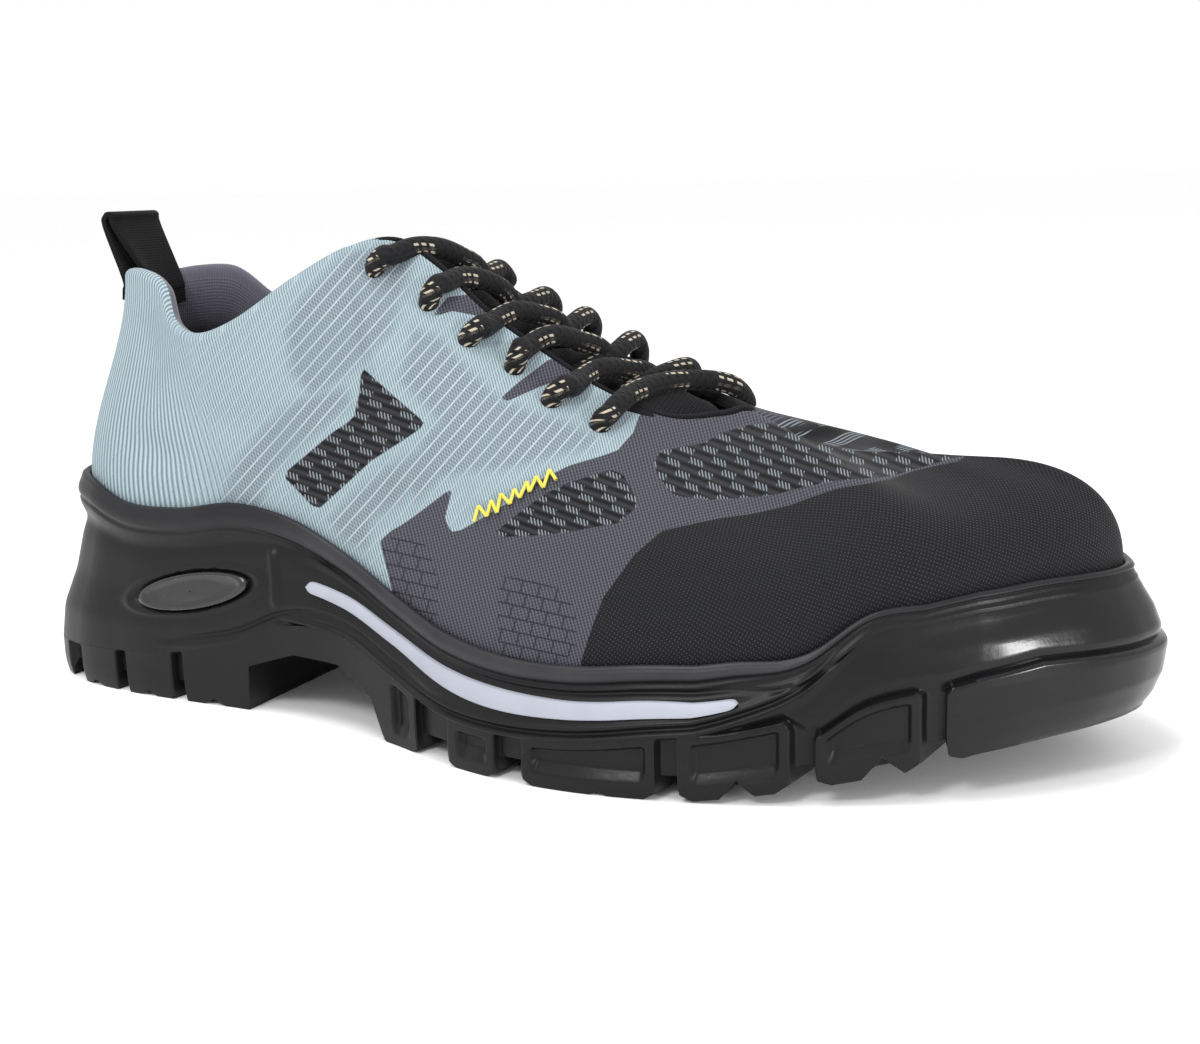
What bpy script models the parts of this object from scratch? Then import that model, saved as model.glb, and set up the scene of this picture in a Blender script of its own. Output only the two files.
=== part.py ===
"""Right-foot safety sneaker, low cut: a knitted upper on a two-layer cup sole.

Metres. +X runs from heel to toe, +Y towards the inner side of the foot, +Z up.
The origin lies on the floor under the middle of the heel.
Every piece is worked out from one ring of sections. Section 0 is the back of the
heel and the last one the tip of the toe. Each has an outer (lateral) and an inner
(medial) side, and the tables hold shares of the named sizes.
"""

import math

import bmesh
import bpy
import numpy as np
from mathutils import Vector

for old in list(bpy.data.objects):
    bpy.data.objects.remove(old, do_unlink=True)

# Overall sizes
LENGTH = 0.302          # outsole, heel to toe
BALL_WIDTH = 0.113      # outsole across the ball of the foot
BACK_HEIGHT = 0.1135    # top of the heel tab
INSTEP_HEIGHT = 0.1223  # about the top corner of the eyestay
TOE_HEIGHT = 0.0695     # top of the toe box
TOE_SPRING = 0.0138     # lift of the sole at the tip
HEEL_CENTRE = 0.030     # origin, ahead of the back of the heel

# Sole
OUTSOLE_THICK = 0.0075  # at the heel, tread and web together
TREAD_DEPTH = 0.0045
MIDSOLE_THICK = 0.0215  # at the heel, under the foot
CUP_DEPTH = 0.029       # rim above the bed, at the back of the heel
LIP_WALL = 0.002        # rim, outer edge to upper
RIM_LEAN = 0.007        # rim inside the widest line, at the toe
TOE_TUCK = 0.005        # bottom edge inside the widest line, at the toe
RIM_ROLL = 0.0012       # depth of the groove under the rolled rim
GUARD_WALL = 0.0026     # outsole turned up round the midsole
CUP_TAPER = 0.003       # foot of the upper inside its rim line
NOTCH_DEPTH = 0.0018    # gaps between the lugs, into the side
ARCH_HEIGHT = 0.017     # underside of the arch
CHANNEL_WIDTH = 0.005   # groove along the middle of the tread
STRIPE_THICK = 0.0018
STRIPE_PROUD = 0.0004
BADGE_LENGTH = 0.038
BADGE_HEIGHT = 0.0095
BADGE_THICK = 0.0024
BADGE_PROUD = 0.0009
BADGE_TILT = 11         # degrees, front end up

# Upper and what fills it
WALL = 0.0022
COLLAR_PAD = 0.0058     # thickest place of the padded collar
PAD_REACH = 0.024       # padding below the collar edge
EDGE_WALL = 0.003       # collar at its very edge
INSOLE_THICK = 0.004
TONGUE_THICK = 0.0035
TONGUE_LAP = 0.011      # tongue under each eyestay
TONGUE_CROWN = 0.0025
TONGUE_GAP = 0.0012      # under the eyestays
TONGUE_END = 0.014      # tongue behind the top of the eyestay
SLOT_LEAST = 0.005      # smallest width of the tongue's middle
EYELETS = 6
EYELET_FIRST = {-1: 0.374, 1: 0.412}   # share of LENGTH, top pair, lateral and medial
EYELET_LAST = {-1: 0.576, 1: 0.642}    # share of LENGTH, front pair
EYELET_INSET = 0.0105   # eyelet from the throat edge
EYELET_RADIUS = 0.0027
LACE_RADIUS = 0.0026
LOOP_WIDTH = 0.019
LOOP_THICK = 0.0014
LOOP_RISE = 0.015       # fold above the collar edge
LOOP_LEAN = 0.0035      # fold behind the collar edge
LOOP_TAIL = 0.009       # ends below the collar edge
LOOP_GAPE = 0.002       # between the two plies at the fold
GAP = 0.0003            # between pieces that touch

LATERAL, MEDIAL = -1, 1
STEPS = 2               # columns in each section


def columns(names, rows):
    """A table: column name to array, one value for each row."""
    return dict(zip(names.split(), np.array(rows, dtype=float).T))


# Widest line of the sole: x of LENGTH, both sides of BALL_WIDTH
OUTLINE = columns("x lateral medial", [
    (0.000, 0.018, 0.018), (0.003, -0.115, 0.150), (0.018, -0.230, 0.261),
    (0.060, -0.299, 0.314), (0.126, -0.334, 0.326), (0.189, -0.341, 0.324),
    (0.252, -0.341, 0.310), (0.311, -0.346, 0.281), (0.371, -0.370, 0.265),
    (0.430, -0.422, 0.273), (0.490, -0.485, 0.296), (0.546, -0.521, 0.350),
    (0.603, -0.531, 0.407), (0.662, -0.515, 0.450), (0.722, -0.481, 0.469),
    (0.775, -0.436, 0.464), (0.815, -0.393, 0.452), (0.854, -0.342, 0.434),
    (0.897, -0.273, 0.408), (0.940, -0.180, 0.350), (0.974, -0.085, 0.255),
    (0.993, 0.006, 0.160), (1.000, 0.084, 0.084)])

# Heights: web above the floor line of OUTSOLE_THICK, bed above the web of
# MIDSOLE_THICK, rim above the bed and drop below it, where the upper starts to
# bend, of CUP_DEPTH, seam between web and rim,
# lean of RIM_LEAN, tuck of TOE_TUCK, guard as the share of the lean at the seam
LEVELS = columns("web bed rim_lateral rim_medial drop seam lean tuck guard", [
    (1.00, 1.000, 1.000, 1.000, 0.00, 0.060, 1.36, 0.20, 0.00),
    (1.00, 1.000, 1.000, 1.000, 0.00, 0.060, 1.36, 0.20, 0.00),
    (1.00, 1.000, 0.966, 0.966, 0.00, 0.062, 1.34, 0.20, 0.00),
    (1.00, 1.000, 0.907, 0.907, 0.00, 0.070, 1.12, 0.18, 0.00),
    (1.00, 1.000, 0.766, 0.800, 0.00, 0.103, 0.80, 0.15, 0.00),
    (1.05, 0.980, 0.776, 0.800, 0.00, 0.138, 0.60, 0.15, 0.00),
    (1.80, 0.735, 0.852, 0.870, 0.00, 0.106, 0.50, 0.15, 0.00),
    (2.84, 0.381, 0.752, 0.820, 0.00, 0.110, 0.45, 0.15, 0.00),
    (2.80, 0.353, 0.538, 0.700, 0.00, 0.130, 0.40, 0.15, 0.00),
    (1.93, 0.512, 0.390, 0.620, 0.00, 0.148, 0.36, 0.15, 0.00),
    (1.17, 0.614, 0.317, 0.570, 0.00, 0.156, 0.34, 0.15, 0.00),
    (1.04, 0.530, 0.321, 0.530, 0.00, 0.160, 0.34, 0.15, 0.00),
    (1.04, 0.474, 0.352, 0.480, 0.00, 0.200, 0.34, 0.15, 0.00),
    (1.08, 0.460, 0.400, 0.466, 0.00, 0.280, 0.36, 0.15, 0.00),
    (1.00, 0.465, 0.420, 0.455, 0.00, 0.396, 0.42, 0.16, 0.10),
    (0.90, 0.420, 0.462, 0.476, -0.02, 0.640, 0.55, 0.20, 0.40),
    (0.86, 0.410, 0.697, 0.697, 0.13, 0.850, 0.75, 0.28, 0.80),
    (0.85, 0.386, 0.712, 0.712, 0.10, 0.865, 0.88, 0.38, 0.85),
    (0.83, 0.350, 0.712, 0.712, 0.06, 0.865, 1.00, 0.55, 0.85),
    (0.85, 0.335, 0.705, 0.705, 0.03, 0.865, 1.12, 0.80, 0.85),
    (0.85, 0.335, 0.675, 0.675, 0.01, 0.865, 1.20, 1.00, 0.85),
    (0.85, 0.335, 0.655, 0.655, 0.00, 0.865, 1.20, 1.00, 0.85),
    (0.85, 0.335, 0.650, 0.650, 0.00, 0.865, 1.20, 1.00, 0.85)])

# Top edge of the upper: x of LENGTH, sides of BALL_WIDTH, heights of the size
# that the section follows
TOP_EDGE = columns("x lateral medial high_lateral high_medial size", [
    (0.0712, 0.018, 0.018, 1.000, 1.000, BACK_HEIGHT),
    (0.076, -0.053, 0.089, 0.997, 0.994, BACK_HEIGHT),
    (0.093, -0.124, 0.155, 0.990, 0.982, BACK_HEIGHT),
    (0.123, -0.173, 0.199, 0.981, 0.972, BACK_HEIGHT),
    (0.156, -0.208, 0.230, 0.952, 0.907, BACK_HEIGHT),
    (0.177, -0.242, 0.252, 0.870, 0.855, BACK_HEIGHT),
    (0.209, -0.264, 0.268, 0.841, 0.837, BACK_HEIGHT),
    (0.252, -0.261, 0.273, 0.816, 0.805, INSTEP_HEIGHT),
    (0.301, -0.221, 0.257, 0.898, 0.867, INSTEP_HEIGHT),
    (0.344, -0.164, 0.235, 0.966, 0.926, INSTEP_HEIGHT),
    (0.381, -0.115, 0.212, 0.986, 0.945, INSTEP_HEIGHT),
    (0.424, -0.124, 0.199, 0.934, 0.872, INSTEP_HEIGHT),
    (0.470, -0.124, 0.195, 0.841, 0.804, INSTEP_HEIGHT),
    (0.520, -0.118, 0.188, 0.762, 0.745, INSTEP_HEIGHT),
    (0.573, -0.106, 0.177, 0.688, 0.695, INSTEP_HEIGHT),
    (0.623, -0.071, 0.150, 0.638, 0.664, INSTEP_HEIGHT),
    (0.656, 0.004, 0.093, 0.638, 0.648, INSTEP_HEIGHT),
    (0.672, 0.049, 0.049, 1.130, 1.130, TOE_HEIGHT),
    (0.712, 0.049, 0.049, 1.042, 1.042, TOE_HEIGHT),
    (0.758, 0.053, 0.053, 1.000, 1.000, TOE_HEIGHT),
    (0.801, 0.057, 0.057, 1.003, 1.003, TOE_HEIGHT),
    (0.838, 0.060, 0.060, 1.000, 1.000, TOE_HEIGHT),
    (0.868, 0.062, 0.062, 1.000, 1.000, TOE_HEIGHT)])

# How each section of the upper bends: degrees that it leans in above the rim,
# degrees that it still rises at the top edge, fall of that edge towards the toe,
# pull of the curve at the rim and at the top edge as shares of the chord
BEND = columns("lean rise_lateral rise_medial fall pull_rim pull_top", [
    (3, 90, 90, 0.00, 0.33, 0.33), (3, 90, 90, 0.00, 0.33, 0.33),
    (3, 88, 88, 0.00, 0.33, 0.33), (3, 86, 86, 0.00, 0.33, 0.33),
    (3, 84, 84, 0.00, 0.33, 0.33), (3, 82, 82, 0.00, 0.33, 0.33),
    (3, 82, 82, 0.00, 0.33, 0.33), (3, 80, 80, 0.00, 0.33, 0.33),
    (4, 75, 76, 0.00, 0.33, 0.33), (6, 62, 68, -0.10, 0.33, 0.33),
    (8, 48, 60, -0.40, 0.33, 0.33), (8, 42, 50, -0.75, 0.33, 0.33),
    (8, 38, 42, -0.75, 0.33, 0.33), (8, 35, 36, -0.62, 0.33, 0.34),
    (6, 31, 28, -0.55, 0.33, 0.36), (4, 24, 18, -0.40, 0.33, 0.38),
    (2, 12, 6, -0.30, 0.33, 0.42), (0, 0, 0, -0.32, 0.33, 0.46),
    (0, 0, 0, -0.28, 0.33, 0.50), (0, 0, 0, -0.15, 0.33, 0.50),
    (0, 0, 0, -0.08, 0.34, 0.52), (0, 0, 0, -0.04, 0.35, 0.54),
    (0, 0, 0, 0.00, 0.36, 0.55)])

# Underside of the sole ahead of the ball: x of LENGTH, lift of TOE_SPRING
SPRING = columns("x lift", [
    (0.640, 0.00), (0.700, 0.03), (0.757, 0.21), (0.795, 0.36),
    (0.850, 0.56), (0.890, 0.76), (0.975, 0.96), (1.000, 1.00)])

# Side of the midsole, seam to rim: height, inset of the lean, groove of RIM_ROLL
MIDSOLE_SIDE = columns("high inset groove", [
    (0.00, 0.00, 0.0), (0.20, 0.14, 0.0), (0.42, 0.56, 0.2), (0.64, 0.82, 0.3),
    (0.74, 0.90, 1.1), (0.82, 0.86, 0.0), (0.92, 0.82, -0.2), (1.00, 1.00, 0.0)])

# Side of the outsole, floor to seam: height, inset of the tuck, of the guard's lean
OUTSOLE_SIDE = columns("high tuck lean", [
    (0.00, 1.00, 0.00), (0.28, 0.20, 0.00), (0.50, 0.00, 0.05), (1.00, 0.00, 1.00)])

# Gaps between the lugs: middle of LENGTH, width, top between floor and seam,
# and how far the gap runs forward to the middle of the tread
LUG_GAPS = columns("at width top sweep", [
    (0.052, 0.0070, 0.95, 0.004), (0.120, 0.0034, 0.90, 0.004),
    (0.187, 0.0034, 0.80, 0.004), (0.477, 0.0125, 0.88, 0.010),
    (0.555, 0.0085, 0.80, 0.010), (0.682, 0.0095, 0.85, 0.010),
    (0.776, 0.0100, 0.75, 0.009), (0.861, 0.0060, 0.52, 0.006)])

# Underside of the arch from the heel breast on: x of LENGTH, height of ARCH_HEIGHT
ARCH = columns("x high", [
    (0.262, -0.30), (0.266, 0.72), (0.315, 1.00), (0.365, 0.98),
    (0.404, 0.62), (0.424, -0.30)])

# Light stripe along the midsole: x of LENGTH, edges between seam and rim
STRIPE = columns("x low high", [
    (0.331, 0.36, 0.46), (0.374, 0.36, 0.55), (0.421, 0.42, 0.58), (0.454, 0.42, 0.60),
    (0.510, 0.34, 0.60), (0.550, 0.31, 0.59), (0.593, 0.32, 0.57), (0.632, 0.29, 0.52),
    (0.685, 0.28, 0.54), (0.732, 0.26, 0.40)])
BADGE_AT = 0.204        # share of LENGTH
BADGE_HIGH = 0.42       # between seam and rim

LAST = len(OUTLINE["x"]) - 1
COLUMNS = LAST * STEPS


def section_spacing():
    """Place of each section along the ring, the same for both sides."""
    x = OUTLINE["x"] * LENGTH
    sides = [np.hypot(np.diff(x), np.diff(OUTLINE[name] * BALL_WIDTH))
             for name in ("lateral", "medial")]
    return np.concatenate([[0], np.cumsum((sides[0] + sides[1]) / 2)])


KNOTS = section_spacing()
ROUND = 2 * KNOTS[-1]


class Ring:
    """A smooth closed run of one value round the shoe, through every section."""

    def __init__(self, lateral, medial=None):
        medial = lateral if medial is None else medial
        self.values = np.concatenate([lateral, medial[-2:0:-1]])
        self.knots = np.concatenate([KNOTS, ROUND - KNOTS[-2:0:-1]])
        count = len(self.values)
        gaps = np.diff(np.append(self.knots, ROUND))
        slopes = (np.roll(self.values, -1) - self.values) / gaps
        before = np.roll(gaps, 1)
        self.rates = (np.roll(slopes, 1) * gaps + slopes * before) / (gaps + before)
        self.gaps = gaps
        self.count = count

    def along(self, place):
        place = place % ROUND
        i = min(int(np.searchsorted(self.knots, place, side="right")) - 1, self.count - 1)
        j = (i + 1) % self.count
        gap = self.gaps[i]
        s = (place - self.knots[i]) / gap
        return ((1 + 2 * s) * (1 - s) ** 2 * self.values[i]
                + s * (1 - s) ** 2 * gap * self.rates[i]
                + s * s * (3 - 2 * s) * self.values[j]
                + s * s * (s - 1) * gap * self.rates[j])

    def __call__(self, side, t):
        place = float(np.interp(t, np.arange(LAST + 1), KNOTS))
        return self.along(place if side == LATERAL else ROUND - place)


edge_x = Ring(OUTLINE["x"] * LENGTH)
edge_y = Ring(OUTLINE["lateral"] * BALL_WIDTH, OUTLINE["medial"] * BALL_WIDTH)
web_share = Ring(LEVELS["web"])
bed_share = Ring(LEVELS["bed"])
rim_share = Ring(LEVELS["rim_lateral"], LEVELS["rim_medial"])
drop_share = Ring(LEVELS["drop"])
seam_share = Ring(LEVELS["seam"])
lean_share = Ring(LEVELS["lean"])
tuck_share = Ring(LEVELS["tuck"])
guard_share = Ring(LEVELS["guard"])
top_x = Ring(TOP_EDGE["x"] * LENGTH)
top_y = Ring(TOP_EDGE["lateral"] * BALL_WIDTH, TOP_EDGE["medial"] * BALL_WIDTH)
top_z = Ring(TOP_EDGE["high_lateral"] * TOP_EDGE["size"],
             TOP_EDGE["high_medial"] * TOP_EDGE["size"])
rise_angle = Ring(BEND["rise_lateral"], BEND["rise_medial"])
lean_angle = Ring(BEND["lean"])
edge_fall = Ring(BEND["fall"])
pull_rim = Ring(BEND["pull_rim"])
pull_top = Ring(BEND["pull_top"])
VAMP = 17               # first section whose top edges meet on the ridge
COLLAR_END = 10         # section at the top corner of the eyestay
HEEL_PIVOT = 0.120      # share of LENGTH, centre of the round heel
TOE_PIVOT = 0.850       # share of LENGTH, centre of the round toe
MIDDLE_HEEL = 0.000     # share of BALL_WIDTH, middle line at the pivots
MIDDLE_TOE = 0.050


def inward(side, t):
    """Level direction from the outline to the middle line between the two pivots."""
    x, y = edge_x(side, t), edge_y(side, t)
    pivot = min(max(x, HEEL_PIVOT * LENGTH), TOE_PIVOT * LENGTH)
    if pivot == x:
        return Vector((0, -side, 0))
    middle = MIDDLE_HEEL if x < pivot else MIDDLE_TOE
    return Vector((pivot - x, middle * BALL_WIDTH - y, 0)).normalized()


def outline(side, t, inset, z):
    """Point at height z, inset from the widest line of the sole."""
    return Vector((edge_x(side, t), edge_y(side, t), z)) + inward(side, t) * inset


def floor_z(x):
    return TOE_SPRING * float(np.interp(x / LENGTH, SPRING["x"], SPRING["lift"]))


def web_z(side, t):
    return floor_z(edge_x(side, t)) + web_share(side, t) * OUTSOLE_THICK


def bed_z(side, t):
    return web_z(side, t) + bed_share(side, t) * MIDSOLE_THICK


def rim_z(side, t):
    return bed_z(side, t) + rim_share(side, t) * CUP_DEPTH


def seam_z(side, t):
    web = web_z(side, t)
    return web + seam_share(side, t) * (rim_z(side, t) - web)


def rim_inset(side, t):
    return lean_share(side, t) * RIM_LEAN


def seam_inset(side, t):
    return guard_share(side, t) * rim_inset(side, t)


def midsole_side(side, t, high, proud=0.0):
    """Point on the outer side of the midsole, high from 0 at the seam to 1 at the rim."""
    low, top = seam_z(side, t), rim_z(side, t)
    share = np.interp(high, MIDSOLE_SIDE["high"], MIDSOLE_SIDE["inset"])
    groove = np.interp(high, MIDSOLE_SIDE["high"], MIDSOLE_SIDE["groove"])
    roll = min(RIM_ROLL, (top - low) / 12)
    inset = seam_inset(side, t) + share * (rim_inset(side, t) - seam_inset(side, t))
    return outline(side, t, inset + groove * roll - proud, low + high * (top - low))


def section_ends(side, t):
    """Foot of a section on the rim, and its top edge."""
    bend_z = rim_z(side, t) - drop_share(side, t) * CUP_DEPTH
    foot = outline(side, t, rim_inset(side, t) + LIP_WALL + GAP, bend_z)
    top = Vector((top_x(side, t), top_y(side, t), top_z(side, t)))
    if t > VAMP - 0.01:
        other = Vector((top_x(-side, t), top_y(-side, t), top_z(-side, t)))
        top = (top + other) / 2
    return foot, top


def skin(side, t, v):
    """Outer face of the upper: v from -1 at its foot, 0 near the rim, 1 at the top edge."""
    foot, top = section_ends(side, t)
    if v < 0:
        low = bed_z(side, t) + GAP
        inset = rim_inset(side, t) + LIP_WALL + GAP - v * CUP_TAPER
        return outline(side, t, inset, foot.z + v * (low - foot.z) * -1)
    chord = (top - foot).length
    lean = math.radians(lean_angle(side, t))
    start = inward(side, t) * math.sin(lean) + Vector((0, 0, math.cos(lean)))
    level = Vector((top.x - foot.x, top.y - foot.y, 0)).normalized()
    rise = math.radians(max(rise_angle(side, t), 0) if t < VAMP else 0)
    if t < COLLAR_END - 1:
        end = level * math.cos(rise) + Vector((0, 0, math.sin(rise)))
    else:
        slope = level.x * edge_fall(side, t) + abs(level.y) * math.tan(rise)
        end = (level + Vector((0, 0, slope))).normalized()
    near_foot = foot + start * pull_rim(side, t) * chord
    near_top = top - end * pull_top(side, t) * chord
    u = 1 - v
    return (foot * u ** 3 + near_foot * (3 * u * u * v)
            + near_top * (3 * u * v * v) + top * v ** 3)


def rim_v(side, t):
    """The v at which the upper passes the sole's rim."""
    steps = np.linspace(-0.5, 0.4, 19)
    return float(np.interp(rim_z(side, t), [skin(side, t, v).z for v in steps], steps))


def skin_normal(side, t, v):
    """Outward direction of the upper's outer face."""
    near = 0.02
    t0, t1 = max(t - near, 0.0), min(t + near, LAST)
    v0, v1 = max(v - near, 0.0), min(max(v, 0.0) + near, 1.0)
    along = skin(side, t1, v) - skin(side, t0, v)
    up = skin(side, t, v1) - skin(side, t, v0)
    return (along.cross(up) * -side).normalized()


def section_reach(side, t, distance):
    """The v that lies a distance below the top edge, along the section."""
    steps = np.linspace(1, 0, 25)
    points = [skin(side, t, v) for v in steps]
    runs = [(b - a).length for a, b in zip(points, points[1:])]
    return float(np.interp(distance, np.concatenate([[0], np.cumsum(runs)]), steps))


def wall_at(side, t, v):
    """Thickness of the upper, padded round the collar."""
    if v <= 0 or t > COLLAR_END:
        return WALL
    below = (1 - v) * (section_ends(side, t)[1] - section_ends(side, t)[0]).length
    swell = max(0.0, 1 - (below / PAD_REACH - 0.4) ** 2 / 0.36)
    collar = min(1.0, max(0.0, (COLLAR_END - t) / 2))
    edge = (EDGE_WALL - WALL) * max(0.0, 1 - below / PAD_REACH)
    return WALL + collar * max(edge, (COLLAR_PAD - WALL) * swell)


def section_at(side, x, v=1.0):
    """The section whose point at v has this x."""
    sections = np.linspace(4, LAST, 160)
    return float(np.interp(x, [skin(side, t, v).x for t in sections], sections))


def ring_points(place):
    """Points round the ring: place(side, t) for each column."""
    turns = [(LATERAL, j / STEPS) for j in range(COLUMNS + 1)]
    turns += [(MEDIAL, j / STEPS) for j in range(COLUMNS - 1, 0, -1)]
    return [place(side, t) for side, t in turns]


def add_ring(mesh, points):
    return [mesh.verts.new(point) for point in points]


def add_band(mesh, lower, upper):
    for i, corner in enumerate(lower):
        j = (i + 1) % len(lower)
        mesh.faces.new((corner, lower[j], upper[j], upper[i]))


def add_ladder(mesh, ring):
    """Close a ring with a row of faces from side to side."""
    mesh.faces.new((ring[0], ring[1], ring[-1]))
    for j in range(1, COLUMNS - 1):
        mesh.faces.new((ring[j], ring[j + 1], ring[-j - 1], ring[-j]))
    mesh.faces.new((ring[COLUMNS - 1], ring[COLUMNS], ring[COLUMNS + 1]))


def finish(name, mesh, color, roughness, smooth=40):
    """Object with its own material, its faces pointing out."""
    bmesh.ops.recalc_face_normals(mesh, faces=mesh.faces)
    data = bpy.data.meshes.new(name)
    mesh.to_mesh(data)
    mesh.free()
    data.shade_smooth()
    data.set_sharp_from_angle(angle=math.radians(smooth))
    part = bpy.data.objects.new(name, data)
    bpy.context.collection.objects.link(part)
    material = bpy.data.materials.new(name)
    material.use_nodes = True
    shader = material.node_tree.nodes["Principled BSDF"]
    shader.inputs["Base Color"].default_value = (*color, 1)
    shader.inputs["Roughness"].default_value = roughness
    shader.inputs["Metallic"].default_value = 0
    data.materials.append(material)
    return part


def cut(part, cutters):
    """Cut every cutter out of a piece."""
    group = bpy.data.collections.new(part.name + "_cutters")
    bpy.context.scene.collection.children.link(group)
    for cutter in cutters:
        bpy.context.collection.objects.unlink(cutter)
        group.objects.link(cutter)
        cutter.hide_render = True
        cutter.display_type = "WIRE"
    boolean = part.modifiers.new("cuts", "BOOLEAN")
    boolean.operation = "DIFFERENCE"
    boolean.operand_type = "COLLECTION"
    boolean.collection = group
    boolean.solver = "EXACT"


def prism(name, lower, upper):
    """Closed solid between two outlines with the same number of corners."""
    mesh = bmesh.new()
    rings = [add_ring(mesh, lower), add_ring(mesh, upper)]
    add_band(mesh, *rings)
    mesh.faces.new(rings[0][::-1])
    mesh.faces.new(rings[1])
    return finish(name, mesh, (0.5, 0.5, 0.5), 0.5)


def lug_gap_cutters(side, at, width, top, sweep):
    """A step into the side between two lugs, and the groove that runs in from it."""
    sections = np.linspace(0, LAST, 200)
    t = float(np.interp(at * LENGTH, [edge_x(side, s) for s in sections], sections))
    edge = outline(side, t, 0, 0)
    into = inward(side, t)
    run = Vector((-into.y, into.x, 0)) * -side
    low = floor_z(edge.x)
    roof = low + top * (seam_z(side, t) - low)
    half = run * width / 2
    below = Vector((0, 0, low - TREAD_DEPTH))
    corners = [edge - into * 0.01 - half, edge - into * 0.01 + half,
               edge + into * NOTCH_DEPTH + half, edge + into * NOTCH_DEPTH - half]
    yield prism("notch", [c + below for c in corners], [c + Vector((0, 0, roof)) for c in corners])
    middle = Vector((edge.x + sweep, (edge.y + edge_y(-side, t)) / 2, 0))
    middle += (middle - edge).normalized() * 0.001
    start = edge - into * 0.01
    flat = Vector((width / 2, 0, 0))
    draft = 0.7
    for_low = [start - flat, start + flat, middle + flat, middle - flat]
    for_top = [start - flat * draft, start + flat * draft,
               middle + flat * draft, middle - flat * draft]
    heights = [low + TREAD_DEPTH, low + TREAD_DEPTH,
               floor_z(middle.x) + TREAD_DEPTH, floor_z(middle.x) + TREAD_DEPTH]
    yield prism("groove", [c + below for c in for_low],
                [c + Vector((0, 0, z)) for c, z in zip(for_top, heights)])


def channel_cutter(first, last):
    """Groove along the middle of the tread, following the toe spring."""
    lower, upper = [], []
    stations = np.linspace(first, last, 5) * LENGTH
    for x, hand in [(x, -1) for x in stations] + [(x, 1) for x in stations[::-1]]:
        y = BALL_WIDTH * float(np.interp(
            x / LENGTH, OUTLINE["x"], (OUTLINE["lateral"] + OUTLINE["medial"]) / 2))
        floor = floor_z(x)
        lower.append(Vector((x, y + hand * CHANNEL_WIDTH / 2, floor - TREAD_DEPTH)))
        upper.append(Vector((x, y + hand * CHANNEL_WIDTH / 3, floor + TREAD_DEPTH)))
    mesh = bmesh.new()
    rings = [add_ring(mesh, lower), add_ring(mesh, upper)]
    add_band(mesh, *rings)
    for k in range(len(stations) - 1):
        for ring in rings:
            mesh.faces.new((ring[k], ring[k + 1], ring[-k - 2], ring[-k - 1]))
    return finish("channel", mesh, (0.5, 0.5, 0.5), 0.5)


def arch_cutter():
    profile = [(x * LENGTH, high * ARCH_HEIGHT) for x, high in zip(ARCH["x"], ARCH["high"])]
    return prism("arch", [Vector((x, -BALL_WIDTH, z)) for x, z in profile],
                 [Vector((x, BALL_WIDTH, z)) for x, z in profile])


def make_outsole():
    """Tray of dense rubber with its lugs, turned up over the toe as a guard."""
    def side_point(high):
        def place(side, t):
            low = floor_z(edge_x(side, t))
            top = seam_z(side, t)
            tuck = np.interp(high, OUTSOLE_SIDE["high"], OUTSOLE_SIDE["tuck"])
            lean = np.interp(high, OUTSOLE_SIDE["high"], OUTSOLE_SIDE["lean"])
            inset = tuck * tuck_share(side, t) * TOE_TUCK + lean * seam_inset(side, t)
            return outline(side, t, inset, low + high * (top - low))
        return place

    def tray(level):
        return lambda side, t: outline(side, t, seam_inset(side, t) + GUARD_WALL, level(side, t))

    mesh = bmesh.new()
    rings = [add_ring(mesh, ring_points(side_point(high))) for high in OUTSOLE_SIDE["high"]]
    rings += [add_ring(mesh, ring_points(tray(level))) for level in (seam_z, web_z)]
    for lower, upper in zip(rings, rings[1:]):
        add_band(mesh, lower, upper)
    add_ladder(mesh, rings[0])
    add_ladder(mesh, rings[-1])
    outsole = finish("outsole", mesh, (0.014, 0.014, 0.015), 0.42)
    cutters = [arch_cutter(), channel_cutter(0.145, 0.25), channel_cutter(0.44, 0.93)]
    for row in zip(*LUG_GAPS.values()):
        for side in (LATERAL, MEDIAL):
            cutters += lug_gap_cutters(side, *row)
    cut(outsole, cutters)
    return outsole


def strip_solid(name, side, rows, proud, depth, grow, color, roughness):
    """Inlay along the midsole's side: rows of section, low edge and high edge."""
    mesh = bmesh.new()
    rings = []
    for t, low, high in rows:
        tall = rim_z(side, t) - seam_z(side, t)
        edges = (low - grow / tall, high + grow / tall)
        rings.append(add_ring(mesh, [
            midsole_side(side, t, edges[0], proud), midsole_side(side, t, edges[1], proud),
            midsole_side(side, t, edges[1], -depth - grow),
            midsole_side(side, t, edges[0], -depth - grow)]))
    for ring, after in zip(rings, rings[1:]):
        add_band(mesh, ring, after)
    mesh.faces.new(rings[0])
    mesh.faces.new(rings[-1])
    return finish(name, mesh, color, roughness)


def make_stripe(side):
    """Stripe and the slot cutter that it lies in."""
    sections = np.linspace(4, LAST, 200)
    xs = [edge_x(side, s) for s in sections]
    steps = np.linspace(STRIPE["x"][0], STRIPE["x"][-1], 19)

    def rows(slack):
        spread = np.concatenate([[steps[0] - slack], steps[1:-1], [steps[-1] + slack]])
        return [(float(np.interp(place * LENGTH, xs, sections)),
                 float(np.interp(x, STRIPE["x"], STRIPE["low"])),
                 float(np.interp(x, STRIPE["x"], STRIPE["high"])))
                for place, x in zip(spread, steps)]

    name = "stripe_lateral" if side == LATERAL else "stripe_medial"
    depth = STRIPE_THICK - STRIPE_PROUD
    stripe = strip_solid(name, side, rows(0), STRIPE_PROUD, depth, 0, (0.55, 0.57, 0.62), 0.45)
    slot = strip_solid("slot", side, rows(2 * GAP / LENGTH), 0.004, depth, GAP, (1, 1, 1), 0.5)
    return stripe, slot


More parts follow.
